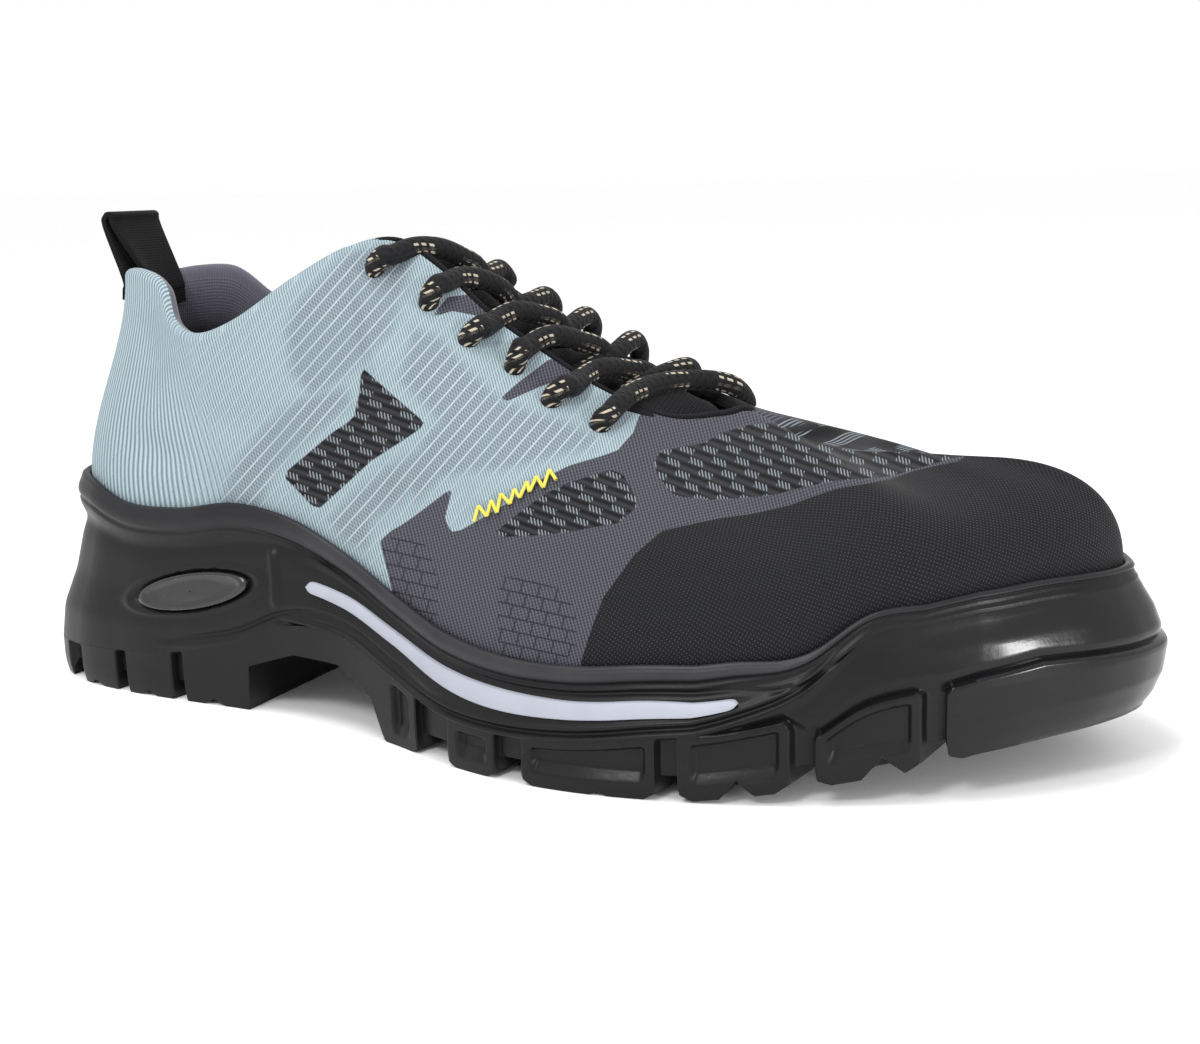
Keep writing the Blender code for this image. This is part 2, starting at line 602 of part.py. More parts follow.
def badge_solid(name, side, proud, depth, grow):
    """Oval pad on the heel's side, bare."""
    tilt = math.radians(BADGE_TILT)
    sections = np.linspace(0, LAST, 200)
    xs = [edge_x(side, s) for s in sections]
    t_middle = float(np.interp(BADGE_AT * LENGTH, xs, sections))
    low = seam_z(side, t_middle)
    middle = low + BADGE_HIGH * (rim_z(side, t_middle) - low)
    turns = np.linspace(0, 2 * math.pi, 16, endpoint=False)
    mesh = bmesh.new()
    rings = []
    for stand, share in ((proud, 0.82), (proud * 0.35, 1.0), (-depth - grow, 1.0)):
        points = []
        for turn in turns:
            a = (BADGE_LENGTH / 2 * share + grow) * math.cos(turn)
            b = (BADGE_HEIGHT / 2 * share + grow) * math.sin(turn)
            x = BADGE_AT * LENGTH + a * math.cos(tilt) - b * math.sin(tilt)
            z = middle + a * math.sin(tilt) + b * math.cos(tilt)
            t = float(np.interp(x, xs, sections))
            high = (z - seam_z(side, t)) / (rim_z(side, t) - seam_z(side, t))
            points.append(midsole_side(side, t, high, stand))
        rings.append(add_ring(mesh, points))
    for ring, after in zip(rings, rings[1:]):
        add_band(mesh, ring, after)
    for ring, stand in ((rings[0], proud), (rings[-1], -depth - grow)):
        hub = mesh.verts.new(midsole_side(side, t_middle, BADGE_HIGH, stand))
        for corner, after in zip(ring, ring[1:] + ring[:1]):
            mesh.faces.new((corner, after, hub))
    return finish(name, mesh, (0.012, 0.012, 0.013), 0.3)


def make_midsole(cutters):
    """Cup of foamed rubber: side with its rolled rim, and the bed that the foot lies on."""
    def shelf(level, inset):
        return lambda side, t: outline(side, t, seam_inset(side, t) + inset(side, t),
                                       level(side, t) + GAP)

    def inner(side, t):
        return GUARD_WALL + GAP

    def outer(high):
        def place(side, t):
            point = midsole_side(side, t, high)
            point.z += GAP * (1 - high)
            return point
        return place

    def lip(side, t):
        v = rim_v(side, t)
        return skin(side, t, v) - inward(side, t) * GAP - Vector((0, 0, GAP))

    def cup(v):
        return lambda side, t: (skin(side, t, min(v, rim_v(side, t) - 0.1))
                                - inward(side, t) * GAP - Vector((0, 0, GAP if v == -1 else 0)))

    mesh = bmesh.new()
    places = [shelf(web_z, inner), shelf(seam_z, inner)]
    places += [outer(high) for high in MIDSOLE_SIDE["high"]]
    places += [lip, cup(-0.05), cup(-1)]
    rings = [add_ring(mesh, ring_points(place)) for place in places]
    for lower, upper in zip(rings, rings[1:]):
        add_band(mesh, lower, upper)
    add_ladder(mesh, rings[0])
    add_ladder(mesh, rings[-1])
    midsole = finish("midsole", mesh, (0.016, 0.016, 0.017), 0.5)
    cut(midsole, cutters)
    return midsole


def thicken(mesh, inner_offset):
    """Turn an open sheet into a closed shell, thickened against its normals."""
    outer = list(mesh.verts)
    edges = [edge for edge in mesh.edges if edge.is_boundary]
    rim = []
    for edge in edges:
        loop = edge.link_loops[0]
        rim.append((loop.vert, loop.link_loop_next.vert))
    faces = [list(face.verts) for face in mesh.faces]
    twin = {v: mesh.verts.new(v.co - v.normal * inner_offset(v)) for v in outer}
    for face in faces:
        mesh.faces.new([twin[v] for v in reversed(face)])
    for a, b in rim:
        mesh.faces.new((b, a, twin[a], twin[b]))


def make_upper():
    """Knitted upper: one hollow shell, open at collar, throat and underneath."""
    levels = [-1, 0, 0.2, 0.42, 0.64, 0.84, 1]

    def lining(v):
        def place(side, t):
            if v <= 0:
                return skin(side, t, v) + inward(side, t) * WALL
            if t < VAMP:
                return inner_face(side, t, v, 0)
            down = skin_normal(side, t, v).lerp(Vector((0, 0, 1)), v ** 3 if v < 1 else 1)
            return skin(side, t, v) - down.normalized() * WALL
        return place

    mesh = bmesh.new()
    outer = [add_ring(mesh, ring_points(lambda side, t: skin(side, t, v))) for v in levels]
    inner = [add_ring(mesh, ring_points(lining(v))) for v in levels]
    for rings in (outer, inner):
        for lower, upper in zip(rings, rings[1:]):
            add_band(mesh, lower, upper)
    add_band(mesh, outer[0], inner[0])
    for near in range(-VAMP * STEPS, VAMP * STEPS):
        mesh.faces.new((outer[-1][near], outer[-1][near + 1], inner[-1][near + 1], inner[-1][near]))
    for ring in (outer[-1], inner[-1]):
        bmesh.ops.remove_doubles(mesh, verts=ring, dist=1e-6)
    part = finish("upper", mesh, (0.33, 0.43, 0.46), 0.85)
    cut(part, [eyelet_cutter(side, n) for side in (LATERAL, MEDIAL) for n in range(EYELETS)])
    return part


def eyelet_place(side, n, inset=EYELET_INSET):
    """Section and v of an eyelet, counted from the top pair."""
    share = EYELET_FIRST[side] + (EYELET_LAST[side] - EYELET_FIRST[side]) * n / (EYELETS - 1)
    t = section_at(side, share * LENGTH)
    for _ in range(4):
        v = section_reach(side, t, inset)
        t += (share * LENGTH - skin(side, t, v).x) / (LENGTH / LAST)
    return t, section_reach(side, t, inset)


def eyelet_cutter(side, n):
    t, v = eyelet_place(side, n)
    middle, axis = skin(side, t, v), skin_normal(side, t, v)
    mesh = bmesh.new()
    bmesh.ops.create_cone(mesh, cap_ends=True, segments=8, radius1=EYELET_RADIUS,
                          radius2=EYELET_RADIUS, depth=4 * COLLAR_PAD)
    turn = Vector((0, 0, 1)).rotation_difference(axis)
    for corner in mesh.verts:
        corner.co = turn @ corner.co + middle
    return finish("eyelet_cutter", mesh, (0.5, 0.5, 0.5), 0.5)


def inner_face(side, t, v, clear):
    """Point under the upper's wall, a clearance below its inner face."""
    return skin(side, t, v) - skin_normal(side, t, v) * (wall_at(side, t, v) + clear)


def tongue_row(t):
    """Points across the tongue: under one eyestay, over the instep, under the other."""
    tops = [section_ends(side, t)[1] for side in (LATERAL, MEDIAL)]
    spare = max(0.0, SLOT_LEAST - (tops[1] - tops[0]).length) / 2
    laps = {}
    for side in (LATERAL, MEDIAL):
        reaches = [spare + TONGUE_LAP * share for share in (1, 0.67, 0.33, 0)]
        laps[side] = [inner_face(side, t, section_reach(side, t, reach), TONGUE_GAP)
                      for reach in reaches]
    a, b = laps[LATERAL][-1], laps[MEDIAL][-1]
    crown = TONGUE_CROWN * min(1, (b - a).length / (4 * SLOT_LEAST))
    middle = [a.lerp(b, s) + Vector((0, 0, crown * 4 * s * (1 - s))) for s in (0.25, 0.5, 0.75)]
    return laps[LATERAL] + middle + laps[MEDIAL][::-1]


def tongue_rows():
    return [tongue_row(t) for t in np.linspace(COLLAR_END + 0.6, VAMP + 0.8, 15)]


def make_tongue():
    """Padded tongue under the laces, from the vamp to just above the collar."""
    mesh = bmesh.new()
    rows = tongue_rows()
    first, second = rows[0], rows[1]
    middle = first[5]
    end = []
    for a, b in zip(first, second):
        back = (a - b).normalized()
        back.z *= 0.55
        moved = a + back * TONGUE_END
        end.append(moved.lerp(Vector((moved.x, middle.y, moved.z)), 0.42))
    rows.insert(0, end)
    grid = [add_ring(mesh, row) for row in rows]
    for row, after in zip(grid, grid[1:]):
        for k in range(len(row) - 1):
            mesh.faces.new((row[k], after[k], after[k + 1], row[k + 1]))
    mesh.normal_update()
    thicken(mesh, lambda corner: TONGUE_THICK)
    return finish("tongue", mesh, (0.02, 0.02, 0.022), 0.8)


def make_insole():
    """Loose foot bed that fills the floor of the upper."""
    inset = LIP_WALL + 2 * GAP + CUP_TAPER + WALL + 2 * GAP

    def place(lift):
        return lambda side, t: outline(side, t, rim_inset(side, t) + inset,
                                       bed_z(side, t) + GAP + lift)

    mesh = bmesh.new()
    rings = [add_ring(mesh, ring_points(place(lift))) for lift in (0, INSOLE_THICK)]
    add_band(mesh, *rings)
    add_ladder(mesh, rings[0])
    add_ladder(mesh, rings[1])
    return finish("insole", mesh, (0.05, 0.05, 0.055), 0.85)


def tube(name, points, radius, sides=8, steps=2):
    """Round cord through a few points, on a smooth curve."""
    points = [Vector(p) for p in points]
    padded = [2 * points[0] - points[1]] + points + [2 * points[-1] - points[-2]]
    path = []
    for n in range(1, len(padded) - 2):
        p0, p1, p2, p3 = padded[n - 1:n + 3]
        for k in range(steps):
            s = k / steps
            path.append(0.5 * (2 * p1 + (p2 - p0) * s + (2 * p0 - 5 * p1 + 4 * p2 - p3) * s * s
                               + (3 * p1 - p0 - 3 * p2 + p3) * s ** 3))
    path.append(points[-1])
    mesh = bmesh.new()
    rings = []
    for n, point in enumerate(path):
        run = (path[min(n + 1, len(path) - 1)] - path[max(n - 1, 0)]).normalized()
        across = run.cross(Vector((0, 0, 1))).normalized()
        up = across.cross(run)
        rings.append(add_ring(mesh, [
            point + radius * (across * math.cos(a) + up * math.sin(a))
            for a in np.linspace(0, 2 * math.pi, sides, endpoint=False)]))
    for ring, after in zip(rings, rings[1:]):
        add_band(mesh, ring, after)
    mesh.faces.new(rings[0])
    mesh.faces.new(rings[-1])
    return finish(name, mesh, (0.015, 0.015, 0.017), 0.75)


def on_tongue(rows, x, y):
    """Middle of a lace that lies on the tongue."""
    across = [[float(np.interp(y, [p.y for p in row], [p[axis] for p in row]))
               for axis in (0, 2)] for row in rows]
    top = float(np.interp(x, [point[0] for point in across], [point[1] for point in across]))
    return Vector((x, y, top + LACE_RADIUS * 1.35 + 2 * GAP))


def lace_out(side, n, far):
    """Where the lace leaves an eyelet, and where it passes the edge on its way to a far point."""
    t, v = eyelet_place(side, n)
    start = skin(side, t, v) + skin_normal(side, t, v) * (LACE_RADIUS + 2 * GAP)
    t = section_at(side, start.x + (far.x - start.x) * 0.2)
    lean = (skin_normal(side, t, 1) + Vector((0, 0, 1))).normalized()
    return [start, skin(side, t, 1) + lean * (LACE_RADIUS + 3 * GAP)]


def lace_stop(side, n, rows):
    """Where a strand ends on the tongue, short of the eyelet that it runs to."""
    pitch = (EYELET_LAST[side] - EYELET_FIRST[side]) / (EYELETS - 1) * LENGTH
    t, v = eyelet_place(side, n)
    edge = section_ends(side, section_at(side, skin(side, t, v).x - pitch / 2))[1]
    y = edge.y - side * (LACE_RADIUS + 3 * GAP)
    return on_tongue(rows, edge.x, y)


def make_crossing(n, rows):
    """Two strands that cross over the tongue between one eyelet pair and the next."""
    runs = {}
    for side in (LATERAL, MEDIAL):
        stop = lace_stop(-side, n + 1, rows)
        runs[side] = [*lace_out(side, n, stop), stop]
    (_, a, b), (_, c, d) = runs.values()
    middle = on_tongue(rows, *((a + b + c + d) / 4).xy)
    strands = [tube("lace_crossing_%d" % (n + 1), [start, over, middle, stop], LACE_RADIUS)
               for start, over, stop in runs.values()]
    strands[1].hide_render = True
    strands[1].display_type = "WIRE"
    join = strands[0].modifiers.new("joined", "BOOLEAN")
    join.operation = "UNION"
    join.object = strands[1]
    join.solver = "EXACT"


def make_bar(rows):
    """Straight run of the lace across the front pair of eyelets."""
    near, far = [lace_out(side, EYELETS - 1, skin(side, *eyelet_place(side, EYELETS - 1))
                          + Vector((0.012, 0, 0))) for side in (LATERAL, MEDIAL)]
    middle = on_tongue(rows, *near[1].lerp(far[1], 0.5).xy)
    tube("lace_bar", [*near, middle, *far[::-1]], LACE_RADIUS)


def make_pull_loop():
    """Webbing folded over the back of the collar, a ply outside and a ply inside."""
    half = LOOP_WIDTH / 2
    middle = top_y(LATERAL, 0)
    stand = 2 * GAP + LOOP_THICK

    def path(y):
        side = LATERAL if y < middle else MEDIAL
        sections = np.linspace(0, 4, 60)
        t = float(np.interp(abs(y - middle), [abs(top_y(side, s) - middle) for s in sections],
                            sections))
        tail = section_reach(side, t, LOOP_TAIL)
        near = section_reach(side, t, LOOP_TAIL / 2)
        rear = [skin(side, t, v) + skin_normal(side, t, v) * stand for v in (tail, near, 1)]
        inside = [inner_face(side, t, v, stand) for v in (1, near, tail)]
        back = skin(LATERAL, 0, 1).x - LOOP_LEAN
        top = BACK_HEIGHT + LOOP_RISE
        ply = LOOP_GAPE / 2 + LOOP_THICK
        fold = [Vector((back - ply, y, top - 0.28 * LOOP_RISE)),
                Vector((back - ply * 0.75, y, top - 0.06 * LOOP_RISE)),
                Vector((back, y, top)),
                Vector((back + ply * 0.75, y, top - 0.06 * LOOP_RISE)),
                Vector((back + ply, y, top - 0.28 * LOOP_RISE))]
        return rear + fold + inside

    mesh = bmesh.new()
    grid = [add_ring(mesh, path(middle + half * share)) for share in (-1, -0.5, 0, 0.5, 1)]
    for row, after in zip(grid, grid[1:]):
        for k in range(len(row) - 1):
            mesh.faces.new((row[k], row[k + 1], after[k + 1], after[k]))
    mesh.normal_update()
    thicken(mesh, lambda corner: LOOP_THICK)
    return finish("pull_loop", mesh, (0.012, 0.012, 0.014), 0.8)


make_outsole()
slots = []
for hand in (LATERAL, MEDIAL):
    slots.append(make_stripe(hand)[1])
    badge_name = "badge_lateral" if hand == LATERAL else "badge_medial"
    badge_solid(badge_name, hand, BADGE_PROUD, BADGE_THICK - BADGE_PROUD, 0)
    slots.append(badge_solid("recess", hand, 0.004, BADGE_THICK - BADGE_PROUD, GAP))
make_midsole(slots)
make_upper()
make_tongue()
make_insole()
under_laces = tongue_rows()
for pair in range(EYELETS - 1):
    make_crossing(pair, under_laces)
make_bar(under_laces)
make_pull_loop()

origin = bpy.data.objects.new("heel_centre", None)
bpy.context.collection.objects.link(origin)
origin.location = (-HEEL_CENTRE, 0, 0)
for part in bpy.data.objects:
    if part.type == "MESH":
        part.parent = origin
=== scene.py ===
"""Right-foot safety sneaker, low cut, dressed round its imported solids.

Metres. +X runs from heel to toe, +Y towards the inner side of the foot, +Z up. Shapes
are worked out from the back of the heel, as the solids are, and moved back to the row's
origin, under the middle of the heel, as each mesh is made.
"""

import math

import bmesh
import bpy
import numpy as np
from mathutils import Matrix, Vector


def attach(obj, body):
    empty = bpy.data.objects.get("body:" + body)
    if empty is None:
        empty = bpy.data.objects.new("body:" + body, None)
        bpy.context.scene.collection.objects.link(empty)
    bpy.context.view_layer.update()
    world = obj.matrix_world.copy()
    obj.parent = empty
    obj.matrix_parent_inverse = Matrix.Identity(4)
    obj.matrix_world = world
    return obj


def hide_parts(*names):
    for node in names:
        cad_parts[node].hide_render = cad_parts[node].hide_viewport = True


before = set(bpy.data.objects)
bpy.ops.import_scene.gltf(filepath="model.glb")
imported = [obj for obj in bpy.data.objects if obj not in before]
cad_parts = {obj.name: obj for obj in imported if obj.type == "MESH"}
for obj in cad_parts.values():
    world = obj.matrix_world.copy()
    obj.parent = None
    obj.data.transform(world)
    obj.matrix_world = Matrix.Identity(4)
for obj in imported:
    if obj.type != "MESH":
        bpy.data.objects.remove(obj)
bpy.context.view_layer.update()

# Camera
# The shoe is photographed from ahead of its outer side and a little above, with a
# normal lens, so that the toe is nearest.
PICTURE_WIDTH = 1200        # pixels
PICTURE_HEIGHT = 1044
FOCAL = 1634.14             # pixels
EYE = np.array((0.3102, -0.3677, 0.1340))
AHEAD = np.array((-0.4226, 0.8829, -0.2047))
RIGHT = np.array((0.9038, 0.4274, -0.0225))
ABOVE = np.array((-0.0676, 0.1945, 0.9786))
SENSOR = 36                 # millimetres across

lens = bpy.data.cameras.new("camera")
lens.sensor_width = SENSOR
lens.sensor_fit = "HORIZONTAL"
lens.lens = FOCAL / PICTURE_WIDTH * SENSOR
camera = bpy.data.objects.new("camera", lens)
bpy.context.scene.collection.objects.link(camera)
camera.matrix_world = Matrix([(*row,) for row in zip(RIGHT, ABOVE, -AHEAD, EYE)] + [(0, 0, 0, 1)])
bpy.context.scene.camera = camera

# Outsole
# One moulding of dense black rubber: deep lugs with recessed faces along the sides, and
# a glossy front that turns up over the toe as a guard. It is bonded under the midsole.
LENGTH = 0.302
BALL_WIDTH = 0.113
HEEL_CENTRE = 0.030
TOE_SPRING = 0.0138
OUTSOLE_THICK = 0.0075
MIDSOLE_THICK = 0.0215
CUP_DEPTH = 0.029
RIM_LEAN = 0.007
TOE_TUCK = 0.005
ARCH_HEIGHT = 0.017
CHANNEL_WIDTH = 0.005
CHANNEL_DEPTH = 0.0036
GROOVE_DEPTH = 0.0052
GAP_RECESS = 0.0024
WALL_RECESS = 0.0008
PANEL_RECESS = 0.0019
LATERAL, MEDIAL = -1, 1


def columns(names, rows):
    """A table: column name to array, one value for each row."""
    return dict(zip(names.split(), np.array(rows, dtype=float).T))


OUTLINE = columns("x lateral medial", [
    (0.000, 0.018, 0.018), (0.003, -0.115, 0.150), (0.018, -0.230, 0.261),
    (0.060, -0.299, 0.314), (0.126, -0.334, 0.326), (0.189, -0.341, 0.324),
    (0.252, -0.341, 0.310), (0.311, -0.346, 0.281), (0.371, -0.370, 0.265),
    (0.430, -0.422, 0.273), (0.490, -0.485, 0.296), (0.546, -0.521, 0.350),
    (0.603, -0.531, 0.407), (0.662, -0.515, 0.450), (0.722, -0.481, 0.469),
    (0.775, -0.436, 0.464), (0.815, -0.393, 0.452), (0.854, -0.342, 0.434),
    (0.897, -0.273, 0.408), (0.940, -0.180, 0.350), (0.974, -0.085, 0.255),
    (0.993, 0.006, 0.160), (1.000, 0.084, 0.084)])
LEVELS = columns("web bed rim_lateral rim_medial drop seam lean tuck guard", [
    (1.00, 1.000, 1.000, 1.000, 0.00, 0.060, 1.36, 0.20, 0.00),
    (1.00, 1.000, 1.000, 1.000, 0.00, 0.060, 1.36, 0.20, 0.00),
    (1.00, 1.000, 0.966, 0.966, 0.00, 0.062, 1.34, 0.20, 0.00),
    (1.00, 1.000, 0.907, 0.907, 0.00, 0.070, 1.12, 0.18, 0.00),
    (1.00, 1.000, 0.766, 0.800, 0.00, 0.103, 0.80, 0.15, 0.00),
    (1.05, 0.980, 0.776, 0.800, 0.00, 0.138, 0.60, 0.15, 0.00),
    (1.80, 0.735, 0.852, 0.870, 0.00, 0.106, 0.50, 0.15, 0.00),
    (2.84, 0.381, 0.752, 0.820, 0.00, 0.110, 0.45, 0.15, 0.00),
    (2.80, 0.353, 0.538, 0.700, 0.00, 0.130, 0.40, 0.15, 0.00),
    (1.93, 0.512, 0.390, 0.620, 0.00, 0.148, 0.36, 0.15, 0.00),
    (1.17, 0.614, 0.317, 0.570, 0.00, 0.156, 0.34, 0.15, 0.00),
    (1.04, 0.530, 0.321, 0.530, 0.00, 0.160, 0.34, 0.15, 0.00),
    (1.04, 0.474, 0.352, 0.480, 0.00, 0.200, 0.34, 0.15, 0.00),
    (1.08, 0.460, 0.400, 0.466, 0.00, 0.280, 0.36, 0.15, 0.00),
    (1.00, 0.465, 0.420, 0.455, 0.00, 0.396, 0.42, 0.16, 0.10),
    (0.90, 0.420, 0.462, 0.476, -0.02, 0.640, 0.55, 0.20, 0.40),
    (0.86, 0.410, 0.697, 0.697, 0.13, 0.850, 0.75, 0.28, 0.80),
    (0.85, 0.386, 0.712, 0.712, 0.10, 0.865, 0.88, 0.38, 0.85),
    (0.83, 0.350, 0.712, 0.712, 0.06, 0.865, 1.00, 0.55, 0.85),
    (0.85, 0.335, 0.705, 0.705, 0.03, 0.865, 1.12, 0.80, 0.85),
    (0.85, 0.335, 0.675, 0.675, 0.01, 0.865, 1.20, 1.00, 0.85),
    (0.85, 0.335, 0.655, 0.655, 0.00, 0.865, 1.20, 1.00, 0.85),
    (0.85, 0.335, 0.650, 0.650, 0.00, 0.865, 1.20, 1.00, 0.85)])
SPRING = columns("x lift", [
    (0.640, 0.00), (0.700, 0.03), (0.757, 0.21), (0.795, 0.36),
    (0.850, 0.56), (0.890, 0.76), (0.975, 0.96), (1.000, 1.00)])
OUTSOLE_SIDE = columns("high tuck lean", [
    (0.00, 1.00, 0.00), (0.10, 0.60, 0.00), (0.28, 0.20, 0.00), (0.50, 0.00, 0.03),
    (0.65, 0.00, 0.14), (0.80, 0.00, 0.38), (0.91, 0.00, 0.66), (1.00, 0.00, 1.00)])
LUG_GAPS = columns("at width sweep", [
    (0.052, 0.0070, 0.004), (0.120, 0.0034, 0.004), (0.187, 0.0034, 0.004),
    (0.477, 0.0105, 0.010), (0.555, 0.0070, 0.010), (0.682, 0.0044, 0.010),
    (0.776, 0.0046, 0.009), (0.861, 0.0044, 0.006)])
ARCH = columns("x high", [
    (0.262, -0.30), (0.266, 0.72), (0.315, 1.00), (0.365, 0.98),
    (0.404, 0.62), (0.424, -0.30)])
# Top of the lugs as a share of the side's height; the wall above it stands back
LEDGE = columns("x high", [
    (0.000, 1.30), (0.690, 1.30), (0.700, 0.98), (0.762, 0.84), (0.778, 0.60), (0.788, 0.50),
    (0.853, 0.57), (0.860, 0.56), (0.868, 0.55), (0.930, 0.61), (1.000, 0.55)])
LUG_CORNER = 0.0016
# Faces of the lugs: ends in x, and the bevel under each recess, above the floor
PANELS = columns("first last bevel_low bevel_high", [
    (0.424, 0.456, 0.0030, 0.0060), (0.500, 0.541, 0.0034, 0.0064),
    (0.569, 0.673, 0.0036, 0.0064), (0.692, 0.767, 0.0034, 0.0064),
    (0.785, 0.853, 0.0046, 0.0076)])
# Small notches in the foot of the lugs: x, half width and height
NOTCHES = columns("x half high", [
    (0.083, 0.0030, 0.0016), (0.152, 0.0028, 0.0014), (0.225, 0.0034, 0.0018),
    (0.731, 0.0036, 0.0042), (0.828, 0.0042, 0.0046), (0.630, 0.0022, 0.0010)])

LAST = len(OUTLINE["x"]) - 1
HALF_COLUMNS = 560
LUG_COLUMNS = (-0.0002, 0.0002, 0.0006, 0.0011, 0.0016, 0.0022)
PANEL_COLUMNS = (0.0014, 0.0019, 0.0024, 0.0029, 0.0034)
SIDE_BANDS = (4, 6, 10, 4, 6, 14)
TREAD_ROWS = 20


def section_spacing():
    """Place of each section along the ring, the same for both sides."""
    x = OUTLINE["x"] * LENGTH
    sides = [np.hypot(np.diff(x), np.diff(OUTLINE[name] * BALL_WIDTH))
             for name in ("lateral", "medial")]
    return np.concatenate([[0], np.cumsum((sides[0] + sides[1]) / 2)])


KNOTS = section_spacing()
ROUND = 2 * KNOTS[-1]


def round_run(lateral, medial=None):
    """A smooth closed run of one value round the shoe, read at places along the ring."""
    medial = lateral if medial is None else medial
    values = np.concatenate([lateral, medial[-2:0:-1]])
    knots = np.concatenate([KNOTS, ROUND - KNOTS[-2:0:-1]])
    gaps = np.diff(np.append(knots, ROUND))
    slopes = (np.roll(values, -1) - values) / gaps
    before = np.roll(gaps, 1)
    rates = (np.roll(slopes, 1) * gaps + slopes * before) / (gaps + before)

    def along(place):
        place = np.asarray(place, float) % ROUND
        i = np.clip(np.searchsorted(knots, place, side="right") - 1, 0, len(values) - 1)
        j = (i + 1) % len(values)
        s = (place - knots[i]) / gaps[i]
        return ((1 + 2 * s) * (1 - s) ** 2 * values[i] + s * (1 - s) ** 2 * gaps[i] * rates[i]
                + s * s * (3 - 2 * s) * values[j] + s * s * (s - 1) * gaps[i] * rates[j])
    return along


edge_x = round_run(OUTLINE["x"] * LENGTH)
edge_y = round_run(OUTLINE["lateral"] * BALL_WIDTH, OUTLINE["medial"] * BALL_WIDTH)
web_share = round_run(LEVELS["web"])
bed_share = round_run(LEVELS["bed"])
rim_share = round_run(LEVELS["rim_lateral"], LEVELS["rim_medial"])
drop_share = round_run(LEVELS["drop"])
seam_share = round_run(LEVELS["seam"])
lean_share = round_run(LEVELS["lean"])
tuck_share = round_run(LEVELS["tuck"])
guard_share = round_run(LEVELS["guard"])
HEEL_PIVOT = 0.120
TOE_PIVOT = 0.850
MIDDLE_TOE = 0.050


def place_of(side, t):
    """Place along the ring of a section, whole or between two."""
    near = np.interp(t, np.arange(LAST + 1), KNOTS)
    return near if side == LATERAL else ROUND - near


def section_of(place):
    place = np.asarray(place, float) % ROUND
    return np.interp(np.minimum(place, ROUND - place), KNOTS, np.arange(LAST + 1))


def side_of(place):
    return np.where(np.asarray(place, float) % ROUND <= ROUND / 2, LATERAL, MEDIAL)


def place_at_x(side, x):
    """Place where the widest line of the sole has this x."""
    near = np.linspace(0, ROUND / 2, 400)
    found = np.interp(x, edge_x(near if side == LATERAL else -near), near)
    return found if side == LATERAL else ROUND - found


def unit(vectors):
    return vectors / np.linalg.norm(vectors, axis=-1, keepdims=True)


def inward(place):
    """Level direction from the outline to the middle line between the two pivots."""
    x, y = edge_x(place), edge_y(place)
    pivot = np.clip(x, HEEL_PIVOT * LENGTH, TOE_PIVOT * LENGTH)
    middle = np.where(x < pivot, 0, MIDDLE_TOE) * BALL_WIDTH
    ends = pivot != x
    run = np.stack([np.where(ends, pivot - x, 0), np.where(ends, middle - y, -side_of(place)),
                    np.zeros_like(x)], axis=-1)
    return unit(run)


def outline(place, inset, z):
    """Points at height z, inset from the widest line of the sole."""
    place, inset, z = np.broadcast_arrays(place, inset, z)
    base = np.stack([edge_x(place), edge_y(place), z], axis=-1)
    return base + inward(place) * inset[..., None]


def floor_z(x):
    return TOE_SPRING * np.interp(x / LENGTH, SPRING["x"], SPRING["lift"])


def web_z(place):
    return floor_z(edge_x(place)) + web_share(place) * OUTSOLE_THICK


def bed_z(place):
    return web_z(place) + bed_share(place) * MIDSOLE_THICK


def rim_z(place):
    return bed_z(place) + rim_share(place) * CUP_DEPTH


def seam_z(place):
    return web_z(place) + seam_share(place) * (rim_z(place) - web_z(place))


def rim_inset(place):
    return lean_share(place) * RIM_LEAN


def seam_inset(place):
    return guard_share(place) * rim_inset(place)


def ease(value, low, high):
    """From 0 at low to 1 at high, with soft ends."""
    s = np.clip((value - low) / (high - low), 0, 1)
    return s * s * (3 - 2 * s)


def gap_walls(x, y, side):
    """1 in the grooves that run in from the gaps between lugs, 0 on the lugs."""
    share = np.zeros_like(x)
    for at, width, sweep in zip(*LUG_GAPS.values()):
        place = place_at_x(side, at * LENGTH)
        start = np.array([edge_x(place), edge_y(place)])
        middle_y = (edge_y(place) + edge_y(ROUND - place)) / 2
        reach = (y - start[1]) / (middle_y - start[1])
        off = np.abs(x - start[0] - np.clip(reach, -1, 1) * sweep)
        groove = 1 - ease(off, width / 2 - 0.0002, width / 2 + 0.0008)
        chamfer = 0.34 * (1 - np.clip((off - width / 2) / 0.0030, 0, 1)) * (at > 0.4)
        groove = np.maximum(groove, chamfer)
        share = np.maximum(share, groove * (reach < 1.02))
    return share


def tread_rise(x, y, side, from_edge):
    """Height of the underside over the floor line."""
    gaps = gap_walls(x, y, side) * GROOVE_DEPTH
    arch = ARCH_HEIGHT * np.interp(x / LENGTH, ARCH["x"], ARCH["high"], left=-1, right=-1)
    middle = BALL_WIDTH * np.interp(x / LENGTH, OUTLINE["x"],
                                    (OUTLINE["lateral"] + OUTLINE["medial"]) / 2)
    across = np.abs(y - middle)
    lengthwise = np.maximum(ease(x / LENGTH, 0.142, 0.148) - ease(x / LENGTH, 0.245, 0.25),
                            ease(x / LENGTH, 0.436, 0.444) - ease(x / LENGTH, 0.926, 0.934))
    channel = (1 - ease(across, CHANNEL_WIDTH / 3, CHANNEL_WIDTH / 2)) * lengthwise * CHANNEL_DEPTH
    rise = np.maximum(np.maximum(gaps, arch), channel)
    for at, half, high in zip(*NOTCHES.values()):
        notch = high * (1 - np.abs(x - at * LENGTH) / half)
        rise = np.maximum(rise, notch * (1 - ease(from_edge, 0.006, 0.010)))
    return np.maximum(rise, 0)


